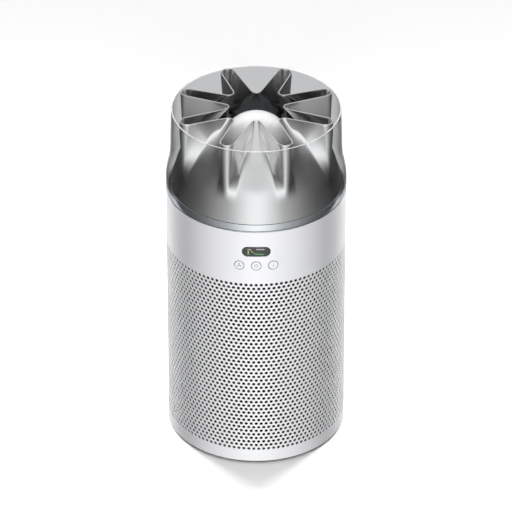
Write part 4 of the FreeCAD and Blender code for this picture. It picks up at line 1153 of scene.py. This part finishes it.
def aim(made, place, target):
    """Puts an object at a place and turns its -Z axis to the target."""
    made.location = place
    made.rotation_euler = (Vector(target) - Vector(place)).to_track_quat("-Z", "Y").to_euler()


def soft_light(name, place, target, size, power):
    """A rectangular area light that mirrors and glass don't show."""
    data = bpy.data.lights.new(name, "AREA")
    data.shape = "RECTANGLE"
    data.size, data.size_y = size
    data.energy = power
    made = bpy.data.objects.new(name, data)
    bpy.context.scene.collection.objects.link(made)
    aim(made, place, target)
    made.visible_glossy = False
    made.visible_transmission = False
    made.visible_camera = False


class OBJECT_OT_stage(bpy.types.Operator):
    """Makes the pale floor, the soft lights and the camera"""
    bl_idname = "purifier.stage"
    bl_label = "Stage"

    def execute(self, context):
        stage = context.scene.purifier_stage
        scene = context.scene
        scene.view_settings.view_transform = "Standard"
        scene.world = studio_world(stage.fill)
        f = Finish("pale_floor")
        vector, *_ = f.place()
        tone = f.noise(vector, 0.004, 2.0)
        shade = f.mix(tone, (0.95, 0.95, 0.95), (0.96, 0.96, 0.96))
        floor_material = f.surface(Base_Color=shade, Roughness=0.6, Specular_IOR_Level=0.2)
        r = np.array([[0.0], [0.4], [1.2], [2.6]])
        a = np.linspace(0, FULL_TURN, 96, endpoint=False)[None, :]
        disc = np.stack([r * np.cos(a), r * np.sin(a), 0 * r * a], axis=-1) / MM
        floor = new_object("floor", grid(disc, wrap_columns=True), floor_material)
        floor.visible_diffuse = floor.visible_glossy = floor.visible_transmission = False
        floor.visible_shadow = False
        middle, strip_length = 0.28, 1.3
        for name, azimuth, distance, width, power in (
                ("key", 0, 0.45, 0.2, stage.key_power), ("back", 180, 0.8, 0.3, stage.back_power),
                ("rim_left", -130, 0.55, 0.15, stage.rim_power),
                ("rim_right", 130, 0.55, 0.15, stage.rim_power)):
            a = math.radians(azimuth)
            place = (distance * math.sin(a), -distance * math.cos(a), middle)
            soft_light(name, place, (0, 0, middle), (width, strip_length), power)
        soft_light("top", (0, 1.0, 2.8), (0, 0, 0), (2.4, 2.4), stage.top_power)
        camera = bpy.data.cameras.new("camera")
        camera.lens = stage.lens
        camera.sensor_width = 36.0
        camera.clip_end = 60.0
        camera.shift_x, camera.shift_y = -0.25 / 512, 0.5 / 512
        made = bpy.data.objects.new("camera", camera)
        scene.collection.objects.link(made)
        aim(made, (0, -4.6572, 3.2037), (0, 0, 0.2382))
        scene.camera = made
        return {"FINISHED"}


class VIEW3D_PT_purifier(bpy.types.Panel):
    """The sizes, colours and pieces of the air purifier"""
    bl_label = "Air purifier"
    bl_idname = "VIEW3D_PT_purifier"
    bl_space_type = "VIEW_3D"
    bl_region_type = "UI"
    bl_category = "Purifier"

    def draw(self, context):
        for group in (context.scene.purifier_looks, context.scene.purifier_stage):
            for key in group.bl_rna.properties.keys():
                if key not in ("rna_type", "name"):
                    self.layout.prop(group, key)
        for operator in OPERATORS:
            self.layout.operator(operator.bl_idname)


OPERATORS = (
    OBJECT_OT_control_band, OBJECT_OT_perforations, OBJECT_OT_sleeve_foot, OBJECT_OT_nozzle,
    OBJECT_OT_clear_shroud, OBJECT_OT_dome, OBJECT_OT_shoulder, OBJECT_OT_buttons, OBJECT_OT_display,
    OBJECT_OT_inner_finishes, OBJECT_OT_stage)
CLASSES = (PurifierSettings, StageSettings, *OPERATORS, VIEW3D_PT_purifier)


def register():
    for cls in CLASSES:
        bpy.utils.register_class(cls)
    bpy.types.Scene.purifier_looks = bpy.props.PointerProperty(type=PurifierSettings)
    bpy.types.Scene.purifier_stage = bpy.props.PointerProperty(type=StageSettings)


def unregister():
    del bpy.types.Scene.purifier_stage
    del bpy.types.Scene.purifier_looks
    for cls in reversed(CLASSES):
        bpy.utils.unregister_class(cls)


def main():
    """Registers the classes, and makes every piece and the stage."""
    register()
    for operator in OPERATORS:
        group, name = operator.bl_idname.split(".")
        getattr(getattr(bpy.ops, group), name)()


if __name__ == "__main__":
    main()
